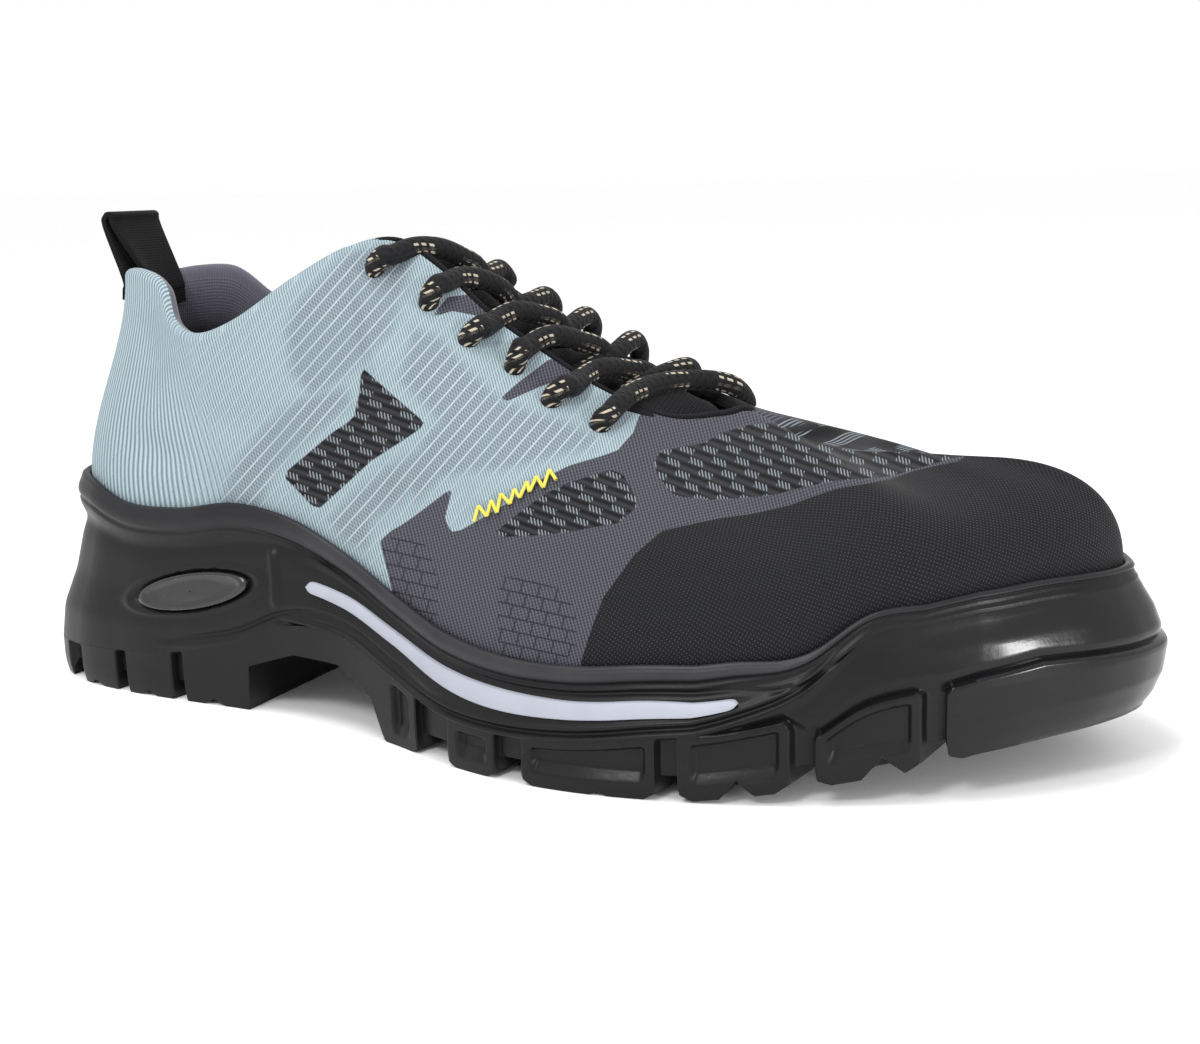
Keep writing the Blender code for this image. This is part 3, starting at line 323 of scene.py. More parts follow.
def mesh_piece(name, parts, weld=False, smooth=60):
    """Piece from grids of points, each with its values and whether its rows run upwards."""
    corners, faces, values = [], [], {}
    start = 0
    for grid, closed, upwards, numbers in parts:
        rows, count = grid.shape[:2]
        ids = np.arange(rows * count).reshape(rows, count) + start
        left, right = (ids, np.roll(ids, -1, axis=1)) if closed else (ids[:, :-1], ids[:, 1:])
        quads = np.stack([left[:-1], left[1:], right[1:], right[:-1]], axis=-1).reshape(-1, 4)
        faces.append(quads[:, ::-1] if upwards else quads)
        corners.append(grid.reshape(-1, 3))
        for key, value in numbers.items():
            values.setdefault(key, []).append(np.asarray(value, float).reshape(rows * count, -1))
        start += rows * count
    data = bpy.data.meshes.new(name)
    points = np.concatenate(corners) - np.array((HEEL_CENTRE, 0, 0))
    data.from_pydata(points.tolist(), [], np.concatenate(faces).tolist())
    for key, value in values.items():
        value = np.concatenate(value)
        kind, field = ("FLOAT", "value") if value.shape[1] == 1 else ("FLOAT_VECTOR", "vector")
        layer = data.attributes.new(key, kind, "POINT")
        layer.data.foreach_set(field, value.ravel())
    if weld:
        work = bmesh.new()
        work.from_mesh(data)
        bmesh.ops.remove_doubles(work, verts=work.verts, dist=2e-6)
        work.to_mesh(data)
        work.free()
    data.shade_smooth()
    data.set_sharp_from_angle(angle=math.radians(smooth))
    piece = bpy.data.objects.new(name, data)
    bpy.context.scene.collection.objects.link(piece)
    return piece


def settle(piece, slot, finish, *nodes):
    """Put a piece on the shoe: its finish, and the solids that it stands for. The slot is not used.
    """
    piece.data.materials.clear()
    piece.data.materials.append(finish.material)
    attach(piece, "root")
    if nodes:
        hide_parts(*nodes)
    return piece


class Value:
    """A shader socket that can be used in sums, each of which adds its Math nodes."""

    def __init__(self, socket):
        self.socket = socket
        self.tree = socket.id_data

    def math(self, kind, *terms):
        node = self.tree.nodes.new("ShaderNodeMath")
        node.operation = kind
        for socket, term in zip(node.inputs, terms):
            join(self.tree, socket, term)
        return Value(node.outputs[0])

    def __add__(self, other):
        return self.math("ADD", self, other)

    def __radd__(self, other):
        return self.math("ADD", other, self)

    def __sub__(self, other):
        return self.math("SUBTRACT", self, other)

    def __rsub__(self, other):
        return self.math("SUBTRACT", other, self)

    def __mul__(self, other):
        return self.math("MULTIPLY", self, other)

    def __rmul__(self, other):
        return self.math("MULTIPLY", other, self)

    def __truediv__(self, other):
        return self.math("DIVIDE", self, other)

    def __abs__(self):
        return self.math("ABSOLUTE", self)

    def wave(self, pitch):
        """From -1 to 1 and back once in each pitch."""
        return (self * (2 * math.pi / pitch)).math("SINE", self * (2 * math.pi / pitch))

    def fraction(self):
        return self.math("FRACT", self)

    def floor(self):
        return self.math("FLOOR", self)

    def most(self, other):
        return self.math("MAXIMUM", self, other)

    def soft(self, low, high):
        """From 0 at low to 1 at high, with soft ends."""
        node = self.tree.nodes.new("ShaderNodeMapRange")
        node.interpolation_type = "SMOOTHSTEP"
        join(self.tree, node.inputs["Value"], self)
        node.inputs["From Min"].default_value = low
        node.inputs["From Max"].default_value = high
        return Value(node.outputs["Result"])


def join(tree, socket, term):
    if isinstance(term, Value):
        tree.links.new(term.socket, socket)
    else:
        socket.default_value = term


def paint(red, green, blue):
    """Colour as a screen shows it, from 0 to 255, in the shader's own numbers."""
    shown = np.array((red, green, blue)) / 255
    return (*np.where(shown < 0.04045, shown / 12.92, ((shown + 0.055) / 1.055) ** 2.4), 1.0)


class Finish:
    """A material, with the nodes that make its colour, gloss and relief."""

    def __init__(self, name, constants):
        self.material = bpy.data.materials.new(name)
        self.material.use_nodes = True
        self.tree = self.material.node_tree
        self.shader = self.tree.nodes["Principled BSDF"]
        for key, value in constants.items():
            self.shader.inputs[key].default_value = value

    def node(self, kind, settings, sockets, out):
        made = self.tree.nodes.new(kind)
        for key, value in settings.items():
            setattr(made, key, value)
        for key, value in sockets.items():
            join(self.tree, made.inputs[key], value)
        return Value(made.outputs[out])

    def layer(self, name, out="Fac"):
        return self.node("ShaderNodeAttribute", {"attribute_name": name}, {}, out)

    def pair(self, name):
        """The first two numbers of a layer of vectors."""
        vector = self.layer(name, "Vector")
        return [self.node("ShaderNodeSeparateXYZ", {}, {"Vector": vector}, axis)
                for axis in ("X", "Y")]

    def noise(self, scale, detail=2.0, stretch=(1, 1, 1)):
        place = self.node("ShaderNodeTexCoord", {}, {}, "Object")
        spread = self.node("ShaderNodeMapping", {}, {"Vector": place, "Scale": stretch}, "Vector")
        return self.node("ShaderNodeTexNoise", {}, {
            "Vector": spread, "Scale": scale, "Detail": detail}, "Fac")

    def mix(self, share, first, second):
        return self.node("ShaderNodeMix", {"data_type": "RGBA"}, {0: share, 6: first, 7: second}, 2)

    def feed(self, socket, value):
        join(self.tree, self.shader.inputs[socket], value)

    def relief(self, height, distance, strength=1.0):
        bump = self.node("ShaderNodeBump", {}, {
            "Height": height, "Distance": distance, "Strength": strength}, "Normal")
        self.feed("Normal", bump)


extra = []
for at, width, sweep in zip(*LUG_GAPS.values()):
    for step in LUG_COLUMNS:
        extra += [at * LENGTH - width / 2 - step, at * LENGTH + width / 2 + step]
for first, last, bevel_low, bevel_high in zip(*PANELS.values()):
    for step in PANEL_COLUMNS:
        extra += [first * LENGTH + step, last * LENGTH - step]
extra = [place_at_x(LATERAL, x) for x in extra]
half = np.unique(np.concatenate([np.linspace(0, ROUND / 2, HALF_COLUMNS + 1), extra]))
around = np.concatenate([half, ROUND - half[-2:0:-1]])
hands = side_of(around)
foot_x, foot_y = edge_x(around), edge_y(around)
rise = np.zeros_like(around)
for hand in (LATERAL, MEDIAL):
    picked = hands == hand
    rise[picked] = tread_rise(foot_x[picked], foot_y[picked], hand, 0)
low = floor_z(foot_x)
top = seam_z(around)
ledge = np.interp(foot_x / LENGTH, LEDGE["x"], LEDGE["high"])
lug_top = np.minimum(ledge, 0.96) * (top - low)
panel_at = (PANELS["first"] + PANELS["last"]) / 2
levels = [rise, np.interp(foot_x / LENGTH, panel_at, PANELS["bevel_low"]),
          np.interp(foot_x / LENGTH, panel_at, PANELS["bevel_high"]),
          lug_top - 0.0028, lug_top - 0.0016, lug_top + 0.0004, top - low]
heights = [rise]
for lower, upper, count in zip(levels, levels[1:], SIDE_BANDS):
    heights += [lower + (upper - lower) * (k + 1) / count for k in range(count)]
heights = np.array(heights)
heights = np.maximum(heights, rise + np.arange(len(heights))[:, None] * 0.00011)
heights = np.minimum(heights, top - low - np.arange(len(heights))[::-1, None] * 0.00002)
z = low + heights[::-1]
high = (z - low) / (top - low)
inset = (np.interp(high, OUTSOLE_SIDE["high"], OUTSOLE_SIDE["tuck"]) * tuck_share(around) * TOE_TUCK
         + np.interp(high, OUTSOLE_SIDE["high"], OUTSOLE_SIDE["lean"]) * seam_inset(around))
lug_ends = np.full_like(foot_x, 1.0)
for at, width, sweep in zip(*LUG_GAPS.values()):
    lug_ends = np.minimum(lug_ends, np.abs(foot_x - at * LENGTH) - width / 2)
from_top = (z - low) - ledge * (top - low)
corner = np.hypot(np.maximum(LUG_CORNER - lug_ends, 0), np.maximum(from_top + LUG_CORNER, 0))
off_lug = ease(corner - LUG_CORNER, -0.0004, 0.0004)
upper_wall = ease(high, ledge - 0.05, ledge + 0.10)
depth = GAP_RECESS * (1 - upper_wall) + WALL_RECESS * upper_wall
inset += off_lug * depth * (1 - ease(high, 0.90, 1.0))
panel = np.zeros_like(z)
shine = np.zeros_like(z)
for first, last, bevel_low, bevel_high in zip(*PANELS.values()):
    ends = np.minimum(foot_x - first * LENGTH, last * LENGTH - foot_x)
    upper_edge = (np.minimum(ledge, 1.0) * (top - low) - 0.0016)
    lower = np.clip((z - low - bevel_low) / (bevel_high - bevel_low), 0, 1)
    upper = 1 - ease(z - low, upper_edge - 0.0012, upper_edge)
    flanks = ease(ends, 0.0014, 0.0034)
    panel = np.maximum(panel, lower * upper * flanks)
    shine = np.maximum(shine, (lower > 0.02) * (lower < 0.98) * ease(ends, 0.003, 0.005))
inset += panel * PANEL_RECESS
side_grid = outline(np.broadcast_to(around, z.shape), inset, z)
gloss_side = np.maximum(shine * 0.85, ease(foot_x / LENGTH, 0.80, 0.93) * 0.75) * np.ones_like(z)

rim_points = side_grid[-1]
middle = (rim_points + np.roll(rim_points[::-1], 1, axis=0)) / 2
tread_shares = (np.linspace(0, 1, TREAD_ROWS) ** 1.2)[1:, None, None]
tread_grid = rim_points + tread_shares * (middle - rim_points)
from_edge = np.linalg.norm((tread_grid - rim_points)[..., :2], axis=-1)
for hand in (LATERAL, MEDIAL):
    picked = hands == hand
    x, y = tread_grid[:, picked, 0], tread_grid[:, picked, 1]
    tread_grid[:, picked, 2] = floor_z(x) + tread_rise(x, y, hand, from_edge[:, picked])
tread_grid[-1] = (tread_grid[-1] + np.roll(tread_grid[-1][::-1], 1, axis=0)) / 2
outsole_grid = np.concatenate([side_grid, tread_grid])
gloss = np.concatenate([gloss_side, np.full(tread_grid.shape[:2], 0.1)])
outsole = mesh_piece("outsole_moulding", [(outsole_grid, True, False, {"gloss": gloss})],
                     weld=True, smooth=45)

dense_rubber = Finish("dense_rubber", {"Specular IOR Level": 0.2, "Coat Roughness": 0.1})
grain = dense_rubber.noise(900, 3)
scuff = dense_rubber.noise(60, 4, (1, 1, 3))
glossy = dense_rubber.layer("gloss")
dense_rubber.feed("Base Color", dense_rubber.mix(scuff, paint(13, 13, 14), paint(23, 23, 25)))
dense_rubber.feed("Roughness", (0.36 - glossy * 0.18) + (scuff - 0.5) * 0.12)
dense_rubber.feed("Coat Weight", glossy * 0.25)
dense_rubber.relief(grain * 0.5 + scuff * 0.5, 0.00006, 0.8)
settle(outsole, "outsole_rubber", dense_rubber, "outsole")

# Midsole
# A cup of foamed black rubber with a rolled rim, a fine bead under it and two ridges
# along its lower edge. It is moulded to the outsole, and the upper is bonded into it.
RIM_ROLL = 0.0012
LIP_WALL = 0.002
GAP = 0.0003
MIDSOLE_SIDE = columns("high inset groove", [
    (0.00, 0.00, 0.0), (0.20, 0.14, 0.0), (0.42, 0.56, 0.2), (0.64, 0.82, 0.3),
    (0.74, 0.90, 1.1), (0.82, 0.86, 0.0), (0.92, 0.82, -0.2), (1.00, 1.00, 0.0)])
BADGE_AT = 0.204
BADGE_HIGH = 0.42
BADGE_LENGTH = 0.038
BADGE_HEIGHT = 0.0095
BADGE_TILT = 11
# Grooves and, where negative, ridges along the side: depth, share of the side's height and
# metres above it where the line runs, and its width
FOREPART_LINES = [(-0.00045, 0.70, 0, 0.0005), (0.0005, 0.62, 0, 0.0009),
                  (-0.0006, 0, 0.0006, 0.0005), (0.0007, 0, 0.0017, 0.0006),
                  (-0.0004, 0, 0.0030, 0.0006)]
WAIST_LINES = [(0.0008, 0, 0.0034, 0.0008), (-0.0006, 0, 0.0014, 0.0010)]
MIDSOLE_ROWS = 84
CUP_COLUMNS = 1040
CUP_TAPER = 0.003


def soft_table(value, xs, ys):
    """A table read with its corners rounded."""
    spread = np.linspace(-0.035, 0.035, 9)
    return sum(np.interp(value + step, xs, ys) for step in spread) / len(spread)


def line_at(value, centre, width):
    """A soft line: 1 on its centre, near 0 beyond its width."""
    return np.exp(-((value - centre) / width) ** 2)


def midsole_point(place, share, proud=0.0, detail=True):
    """Points on the outer side of the midsole, share from 0 at the seam to 1 at the rim."""
    place, share = np.broadcast_arrays(np.asarray(place, float), np.asarray(share, float))
    bottom, brim = seam_z(place), rim_z(place)
    lean = soft_table(share, MIDSOLE_SIDE["high"], MIDSOLE_SIDE["inset"])
    groove = soft_table(share, MIDSOLE_SIDE["high"], MIDSOLE_SIDE["groove"])
    roll = np.minimum(RIM_ROLL, (brim - bottom) / 12)
    inset = seam_inset(place) + lean * (rim_inset(place) - seam_inset(place)) + groove * roll
    height = bottom + share * (brim - bottom)
    if detail:
        x = edge_x(place)
        along = x / LENGTH
        tall = brim - bottom
        forepart = ease(along, 0.30, 0.36) * (1 - ease(along, 0.775, 0.80))
        waist = ease(along, 0.16, 0.22) * (1 - ease(along, 0.44, 0.50))
        for rows, reach in ((FOREPART_LINES, forepart), (WAIST_LINES, waist)):
            for depth, part, above, width in rows:
                inset = inset + depth * line_at(share * tall, part * tall + above, width) * reach
        brim_step = line_at(tall - share * tall, 0.0058, 0.0006)
        inset = inset + 0.0006 * brim_step * (1 - ease(along, 0.80, 0.84))
        rib = line_at(x, 0.0875 + (0.045 - height) * 0.15, 0.0010)
        rib = rib * ease(height, 0.028, 0.031) * (1 - ease(height, 0.042, 0.045))
        inset = inset - 0.0009 * rib
        slit = line_at(height, 0.0255 - (x - 0.091) * 0.1, 0.0007)
        inset = inset + 0.0008 * slit * ease(x, 0.090, 0.092) * (1 - ease(x, 0.100, 0.102))
        tilt = math.radians(BADGE_TILT)
        centre = place_at_x(LATERAL, BADGE_AT * LENGTH)
        centre_z = seam_z(centre) + BADGE_HIGH * (rim_z(centre) - seam_z(centre))
        a = (x - BADGE_AT * LENGTH) * math.cos(tilt) + (height - centre_z) * math.sin(tilt)
        b = (height - centre_z) * math.cos(tilt) - (x - BADGE_AT * LENGTH) * math.sin(tilt)
        oval = np.hypot(a / (BADGE_LENGTH / 2), b / (BADGE_HEIGHT / 2))
        inset = inset - 0.0006 * line_at(oval, 1.22, 0.10)
        inset = inset + 0.0009 * (1 - ease(oval, 1.0, 1.12))
        from_back = np.minimum(place % ROUND, ROUND - place % ROUND)
        patch = ease(from_back, 0.004, 0.005) * (1 - ease(from_back, 0.026, 0.028))
        patch = patch * ease(height, 0.012, 0.014) * (1 - ease(height, 0.038, 0.041))
        row = np.floor(height / 0.0046)
        cell_a = np.abs(((from_back / 0.0040 + 0.5 * (row % 2)) % 1) - 0.5)
        cell_b = np.abs(((height / 0.0046) % 1) - 0.5)
        hole = (1 - ease(cell_a, 0.22, 0.34)) * (1 - ease(cell_b, 0.26, 0.38))
        inset = inset + 0.0007 * hole * patch
    return outline(place, inset - proud, height)


rows_up = np.linspace(0, 1, MIDSOLE_ROWS)[:, None]
cup_places = np.linspace(0, ROUND, CUP_COLUMNS, endpoint=False)
wall_grid = midsole_point(cup_places[None, :], rows_up)
rim_here, lean_here = rim_z(cup_places), rim_inset(cup_places)
lip = []
for turn in (30, 60, 90):
    reach = LIP_WALL * 0.5 * (1 - math.cos(math.radians(turn)))
    lift = LIP_WALL * 0.25 * math.sin(math.radians(turn))
    lip.append(outline(cup_places, lean_here + reach, rim_here + lift))
for reach, lift in ((0.9, 0.0002), (1.15, -0.0008), (1.3, -0.004)):
    lip.append(outline(cup_places, lean_here + LIP_WALL * reach, rim_here + lift))
midsole_grid = np.concatenate([wall_grid, np.stack(lip)])
foot_share = edge_x(cup_places) / LENGTH
brightness = ease(foot_share, 0.80, 0.93) * 0.7 * np.ones(midsole_grid.shape[:2])
forepart = ease(foot_share, 0.26, 0.36) * (1 - ease(foot_share, 0.76, 0.82))
# Painted highlight: the rolled rim and the lip get a lighter grey in their colour, a little all round
# and most along the forepart, where the roll faces the light.
rim_rows = np.concatenate([ease(rows_up, 0.78, 0.88), np.ones((len(lip), 1))])
painted_rim_highlight = rim_rows * (0.35 + 0.65 * forepart)
midsole = mesh_piece("midsole_cup", [(midsole_grid, True, True, {
    "gloss": brightness, "painted_rim_highlight": painted_rim_highlight})])

foam_rubber = Finish("foam_rubber", {"Specular IOR Level": 0.2})
grain = foam_rubber.noise(1100, 3)
cloud = foam_rubber.noise(70, 4)
glossy = foam_rubber.layer("gloss")
black = foam_rubber.mix(cloud, paint(14, 14, 15), paint(24, 24, 26))
# Painted highlight: the lighter grey mixed in over the rim rows.
rim_highlight_grey = foam_rubber.mix(cloud, paint(40, 40, 42), paint(66, 66, 70))
foam_rubber.feed("Base Color", foam_rubber.mix(foam_rubber.layer("painted_rim_highlight") * 0.7, black, rim_highlight_grey))
foam_rubber.feed("Roughness", (0.38 - glossy * 0.16) + (cloud - 0.5) * 0.12)
foam_rubber.relief(grain * 0.6 + cloud * 0.4, 0.00006, 0.8)
settle(midsole, "midsole_rubber", foam_rubber, "midsole")

# Stripes
# A light plastic strip on each side of the midsole, moulded separately and pressed into
# a shallow slot. It starts blunt under the waist and tapers to a round tip by the toe.
STRIPE_PROUD = 0.0009
STRIPE = columns("x low high", [
    (0.331, 0.36, 0.46), (0.374, 0.36, 0.55), (0.421, 0.42, 0.58), (0.454, 0.42, 0.60),
    (0.510, 0.34, 0.60), (0.550, 0.31, 0.59), (0.593, 0.32, 0.57), (0.632, 0.29, 0.52),
    (0.685, 0.28, 0.54), (0.732, 0.26, 0.40)])
strip_plastic = Finish("strip_plastic", {"Specular IOR Level": 0.5})
speckle = strip_plastic.noise(700, 3)
wear = strip_plastic.noise(120, 4)
strip_plastic.feed("Base Color", strip_plastic.mix(
    wear, paint(150, 153, 164), paint(164, 167, 178)))
strip_plastic.feed("Roughness", 0.42 + wear * 0.16)
strip_plastic.relief(speckle, 0.00003, 0.6)
for hand, name in ((LATERAL, "stripe_lateral"), (MEDIAL, "stripe_medial")):
    x = np.linspace(STRIPE["x"][0], STRIPE["x"][-1], 160)
    place = np.array([place_at_x(hand, share * LENGTH) for share in x])
    lower = soft_table(x, STRIPE["x"], STRIPE["low"])
    upper = soft_table(x, STRIPE["x"], STRIPE["high"])
    ends = np.minimum(x - x[0], x[-1] - x) * LENGTH
    blunt = np.sqrt(np.clip(ends / 0.0022, 0, 1) * (2 - np.clip(ends / 0.0022, 0, 1)))
    centre, spread = (lower + upper) / 2, (upper - lower) / 2 * blunt
    rows = []
    for across, stand in ((-1.04, -0.6), (-1.0, 0.3), (-0.93, 0.8), (-0.8, 1.0), (0, 1.15),
                          (0.8, 1.0), (0.93, 0.8), (1.0, 0.3), (1.04, -0.6)):
        rows.append(midsole_point(place, centre + across * spread, stand * STRIPE_PROUD, False))
    strip = mesh_piece(name + "_strip", [(np.stack(rows), False, hand == LATERAL, {})])
    settle(strip, "stripe_plastic", strip_plastic, name)

# Badges
# An oval pad of hard black plastic on each side of the heel, bare, glued into a recess
# with a raised border.
badge_plastic = Finish("badge_plastic", {"Specular IOR Level": 0.5, "Coat Weight": 0.4})
film = badge_plastic.noise(300, 3)
badge_plastic.feed("Base Color", badge_plastic.mix(film, paint(14, 14, 16), paint(24, 24, 27)))
badge_plastic.feed("Roughness", 0.20 + film * 0.14)
badge_plastic.relief(film, 0.00004, 0.5)
for hand, name in ((LATERAL, "badge_lateral"), (MEDIAL, "badge_medial")):
    turns = np.linspace(0, 2 * math.pi, 72, endpoint=False)
    tilt = math.radians(BADGE_TILT)
    at = place_at_x(hand, BADGE_AT * LENGTH)
    tall = rim_z(at) - seam_z(at)
    rows = []
    for share, stand in ((1.0, -0.0008), (0.99, 0.0006), (0.95, 0.0009), (0.88, 0.0010),
                         (0.84, 0.0007), (0.80, 0.0006), (0.5, 0.0008), (0.02, 0.0009)):
        a = BADGE_LENGTH / 2 * share * np.cos(turns)
        b = BADGE_HEIGHT / 2 * share * np.sin(turns)
        x = BADGE_AT * LENGTH + a * math.cos(tilt) - b * math.sin(tilt)
        height = seam_z(at) + BADGE_HIGH * tall + a * math.sin(tilt) + b * math.cos(tilt)
        place = np.array([place_at_x(hand, value) for value in x])
        share_up = (height - seam_z(place)) / (rim_z(place) - seam_z(place))
        rows.append(midsole_point(place, share_up, stand, False))
    pad = mesh_piece(name + "_pad", [(np.stack(rows), True, hand == MEDIAL, {})])
    settle(pad, "badge_plastic", badge_plastic, name)

# Upper
# One knitted piece in light blue and charcoal, its panels knitted in: mesh windows with
# light ticks, a ripstop ground, outlined blocks by the sole and a black toe.
BACK_HEIGHT = 0.1135
INSTEP_HEIGHT = 0.1223
TOE_HEIGHT = 0.0695
VAMP = 17
COLLAR_END = 10
WALL = 0.0022
COLLAR_PAD = 0.0058
PAD_REACH = 0.024
EDGE_WALL = 0.003
TOP_EDGE = columns("x lateral medial high_lateral high_medial size", [
    (0.0712, 0.018, 0.018, 0.962, 0.962, BACK_HEIGHT),
    (0.076, -0.053, 0.089, 0.967, 0.965, BACK_HEIGHT),
    (0.093, -0.124, 0.155, 0.980, 0.974, BACK_HEIGHT),
    (0.123, -0.173, 0.199, 0.981, 0.972, BACK_HEIGHT),
    (0.156, -0.208, 0.230, 0.952, 0.907, BACK_HEIGHT),
    (0.177, -0.242, 0.252, 0.870, 0.855, BACK_HEIGHT),
    (0.209, -0.264, 0.268, 0.841, 0.837, BACK_HEIGHT),
    (0.252, -0.261, 0.273, 0.816, 0.805, INSTEP_HEIGHT),
    (0.301, -0.221, 0.257, 0.898, 0.867, INSTEP_HEIGHT),
    (0.344, -0.164, 0.235, 0.966, 0.926, INSTEP_HEIGHT),
    (0.381, -0.115, 0.212, 0.986, 0.945, INSTEP_HEIGHT),
    (0.424, -0.124, 0.199, 0.934, 0.872, INSTEP_HEIGHT),
    (0.470, -0.124, 0.195, 0.841, 0.804, INSTEP_HEIGHT),
    (0.520, -0.118, 0.188, 0.762, 0.745, INSTEP_HEIGHT),
    (0.573, -0.106, 0.177, 0.688, 0.695, INSTEP_HEIGHT),
    (0.623, -0.071, 0.150, 0.638, 0.664, INSTEP_HEIGHT),
    (0.656, 0.004, 0.093, 0.638, 0.648, INSTEP_HEIGHT),
    (0.672, 0.049, 0.049, 1.130, 1.130, TOE_HEIGHT),
    (0.712, 0.049, 0.049, 1.042, 1.042, TOE_HEIGHT),
    (0.758, 0.053, 0.053, 1.000, 1.000, TOE_HEIGHT),
    (0.801, 0.057, 0.057, 1.003, 1.003, TOE_HEIGHT),
    (0.838, 0.060, 0.060, 1.000, 1.000, TOE_HEIGHT),
    (0.868, 0.062, 0.062, 1.000, 1.000, TOE_HEIGHT)])
BEND = columns("lean rise_lateral rise_medial fall pull_rim pull_top", [
    (3, 90, 90, 0.00, 0.33, 0.33), (3, 90, 90, 0.00, 0.33, 0.33),
    (3, 88, 88, 0.00, 0.33, 0.33), (3, 86, 86, 0.00, 0.33, 0.33),
    (3, 84, 84, 0.00, 0.33, 0.33), (3, 82, 82, 0.00, 0.33, 0.33),
    (3, 82, 82, 0.00, 0.33, 0.33), (3, 80, 80, 0.00, 0.33, 0.33),
    (4, 75, 76, 0.00, 0.33, 0.33), (6, 62, 68, -0.10, 0.33, 0.33),
    (8, 48, 60, -0.40, 0.33, 0.33), (8, 42, 50, -0.75, 0.33, 0.33),
    (8, 38, 42, -0.75, 0.33, 0.33), (8, 35, 36, -0.62, 0.33, 0.34),
    (6, 31, 28, -0.55, 0.33, 0.36), (4, 24, 18, -0.40, 0.33, 0.38),
    (2, 12, 6, -0.30, 0.33, 0.42), (0, 0, 0, -0.32, 0.33, 0.46),
    (0, 0, 0, -0.28, 0.33, 0.50), (0, 0, 0, -0.15, 0.33, 0.50),
    (0, 0, 0, -0.08, 0.34, 0.52), (0, 0, 0, -0.04, 0.35, 0.54),
    (0, 0, 0, 0.00, 0.36, 0.55)])
top_x = round_run(TOP_EDGE["x"] * LENGTH)
top_y = round_run(TOP_EDGE["lateral"] * BALL_WIDTH, TOP_EDGE["medial"] * BALL_WIDTH)
top_z = round_run(TOP_EDGE["high_lateral"] * TOP_EDGE["size"],
                  TOP_EDGE["high_medial"] * TOP_EDGE["size"])
rise_angle = round_run(BEND["rise_lateral"], BEND["rise_medial"])
lean_angle = round_run(BEND["lean"])
edge_fall = round_run(BEND["fall"])
pull_rim = round_run(BEND["pull_rim"])
pull_top = round_run(BEND["pull_top"])
UPPER_COLUMNS = 310
UPPER_ROWS = 112


def section_ends(place):
    """Foot of each section on the rim, and its top edge."""
    bend_z = rim_z(place) - drop_share(place) * CUP_DEPTH
    foot = outline(place, rim_inset(place) + LIP_WALL + GAP, bend_z)
    near = np.stack([top_x(place), top_y(place), top_z(place)], axis=-1)
    far = np.stack([top_x(-place), top_y(-place), top_z(-place)], axis=-1)
    ridge = (section_of(place) > VAMP - 0.01)[..., None]
    return foot, np.where(ridge, (near + far) / 2, near)


def skin(place, v):
    """Outer face of the upper: v from -1 at its foot, 0 near the rim, 1 at the top edge."""
    place, v = np.broadcast_arrays(np.asarray(place, float), np.asarray(v, float))
    foot, top = section_ends(place)
    t = section_of(place)
    lean = np.radians(lean_angle(place))[..., None]
    up = np.array((0.0, 0.0, 1.0))
    start = inward(place) * np.sin(lean) + up * np.cos(lean)
    level = unit((top - foot) * np.array((1, 1, 0)))
    rise = np.radians(np.where(t < VAMP, np.maximum(rise_angle(place), 0), 0))
    collar_end = level * np.cos(rise)[..., None] + up * np.sin(rise)[..., None]
    slope = level[..., 0] * edge_fall(place) + np.abs(level[..., 1]) * np.tan(
        np.minimum(rise, math.radians(85)))
    throat_end = unit(level + up * slope[..., None])
    end = np.where((t < COLLAR_END - 1)[..., None], collar_end, throat_end)
    chord = np.linalg.norm(top - foot, axis=-1)[..., None]
    near_foot = foot + start * pull_rim(place)[..., None] * chord
    near_top = top - end * pull_top(place)[..., None] * chord
    s = np.maximum(v, 0)[..., None]
    bent = (foot * (1 - s) ** 3 + near_foot * 3 * (1 - s) ** 2 * s
            + near_top * 3 * (1 - s) * s * s + top * s ** 3)
    down = np.minimum(v, 0)
    low = bed_z(place) + GAP
    inset = rim_inset(place) + LIP_WALL + GAP - down * CUP_TAPER
    buried = outline(place, inset, foot[..., 2] + down * (foot[..., 2] - low))
    return np.where((v < 0)[..., None], buried, bent)


def skin_normal(place, v):
    """Outward direction of the upper's outer face."""
    place, v = np.broadcast_arrays(np.asarray(place, float), np.asarray(v, float))
    near = 0.0004
    along = skin(place + near, v) - skin(place - near, v)
    v0, v1 = np.clip(v - 0.02, 0, 0.98), np.clip(v + 0.02, 0.02, 1)
    up = skin(place, v1) - skin(place, v0)
    out = np.cross(along, up)
    meeting = np.linalg.norm(out, axis=-1) < 1e-12
    return unit(np.where(meeting[..., None], np.array((0, 0, 1.0)), out))


def top_reach(place, distance):
    """The v that lies a distance below the top edge, along one section."""
    steps = np.linspace(1, 0, 40)
    points = skin(np.full(40, place), steps)
    runs = np.linalg.norm(np.diff(points, axis=0), axis=-1)
    return float(np.interp(distance, np.concatenate([[0], np.cumsum(runs)]), steps))


def wall_at(place, v):
    """Thickness of the upper, padded round the collar."""
    place, v = np.broadcast_arrays(np.asarray(place, float), np.asarray(v, float))
    t = section_of(place)
    foot, top = section_ends(place)
    below = (1 - v) * np.linalg.norm(top - foot, axis=-1)
    swell = np.maximum(0, 1 - (below / PAD_REACH - 0.4) ** 2 / 0.36)
    collar = np.clip((COLLAR_END - t) / 2, 0, 1)
    edge = (EDGE_WALL - WALL) * np.maximum(0, 1 - below / PAD_REACH)
    pad = WALL + collar * np.maximum(edge, (COLLAR_PAD - WALL) * swell)
    return np.where((v <= 0) | (t > COLLAR_END), WALL, pad)


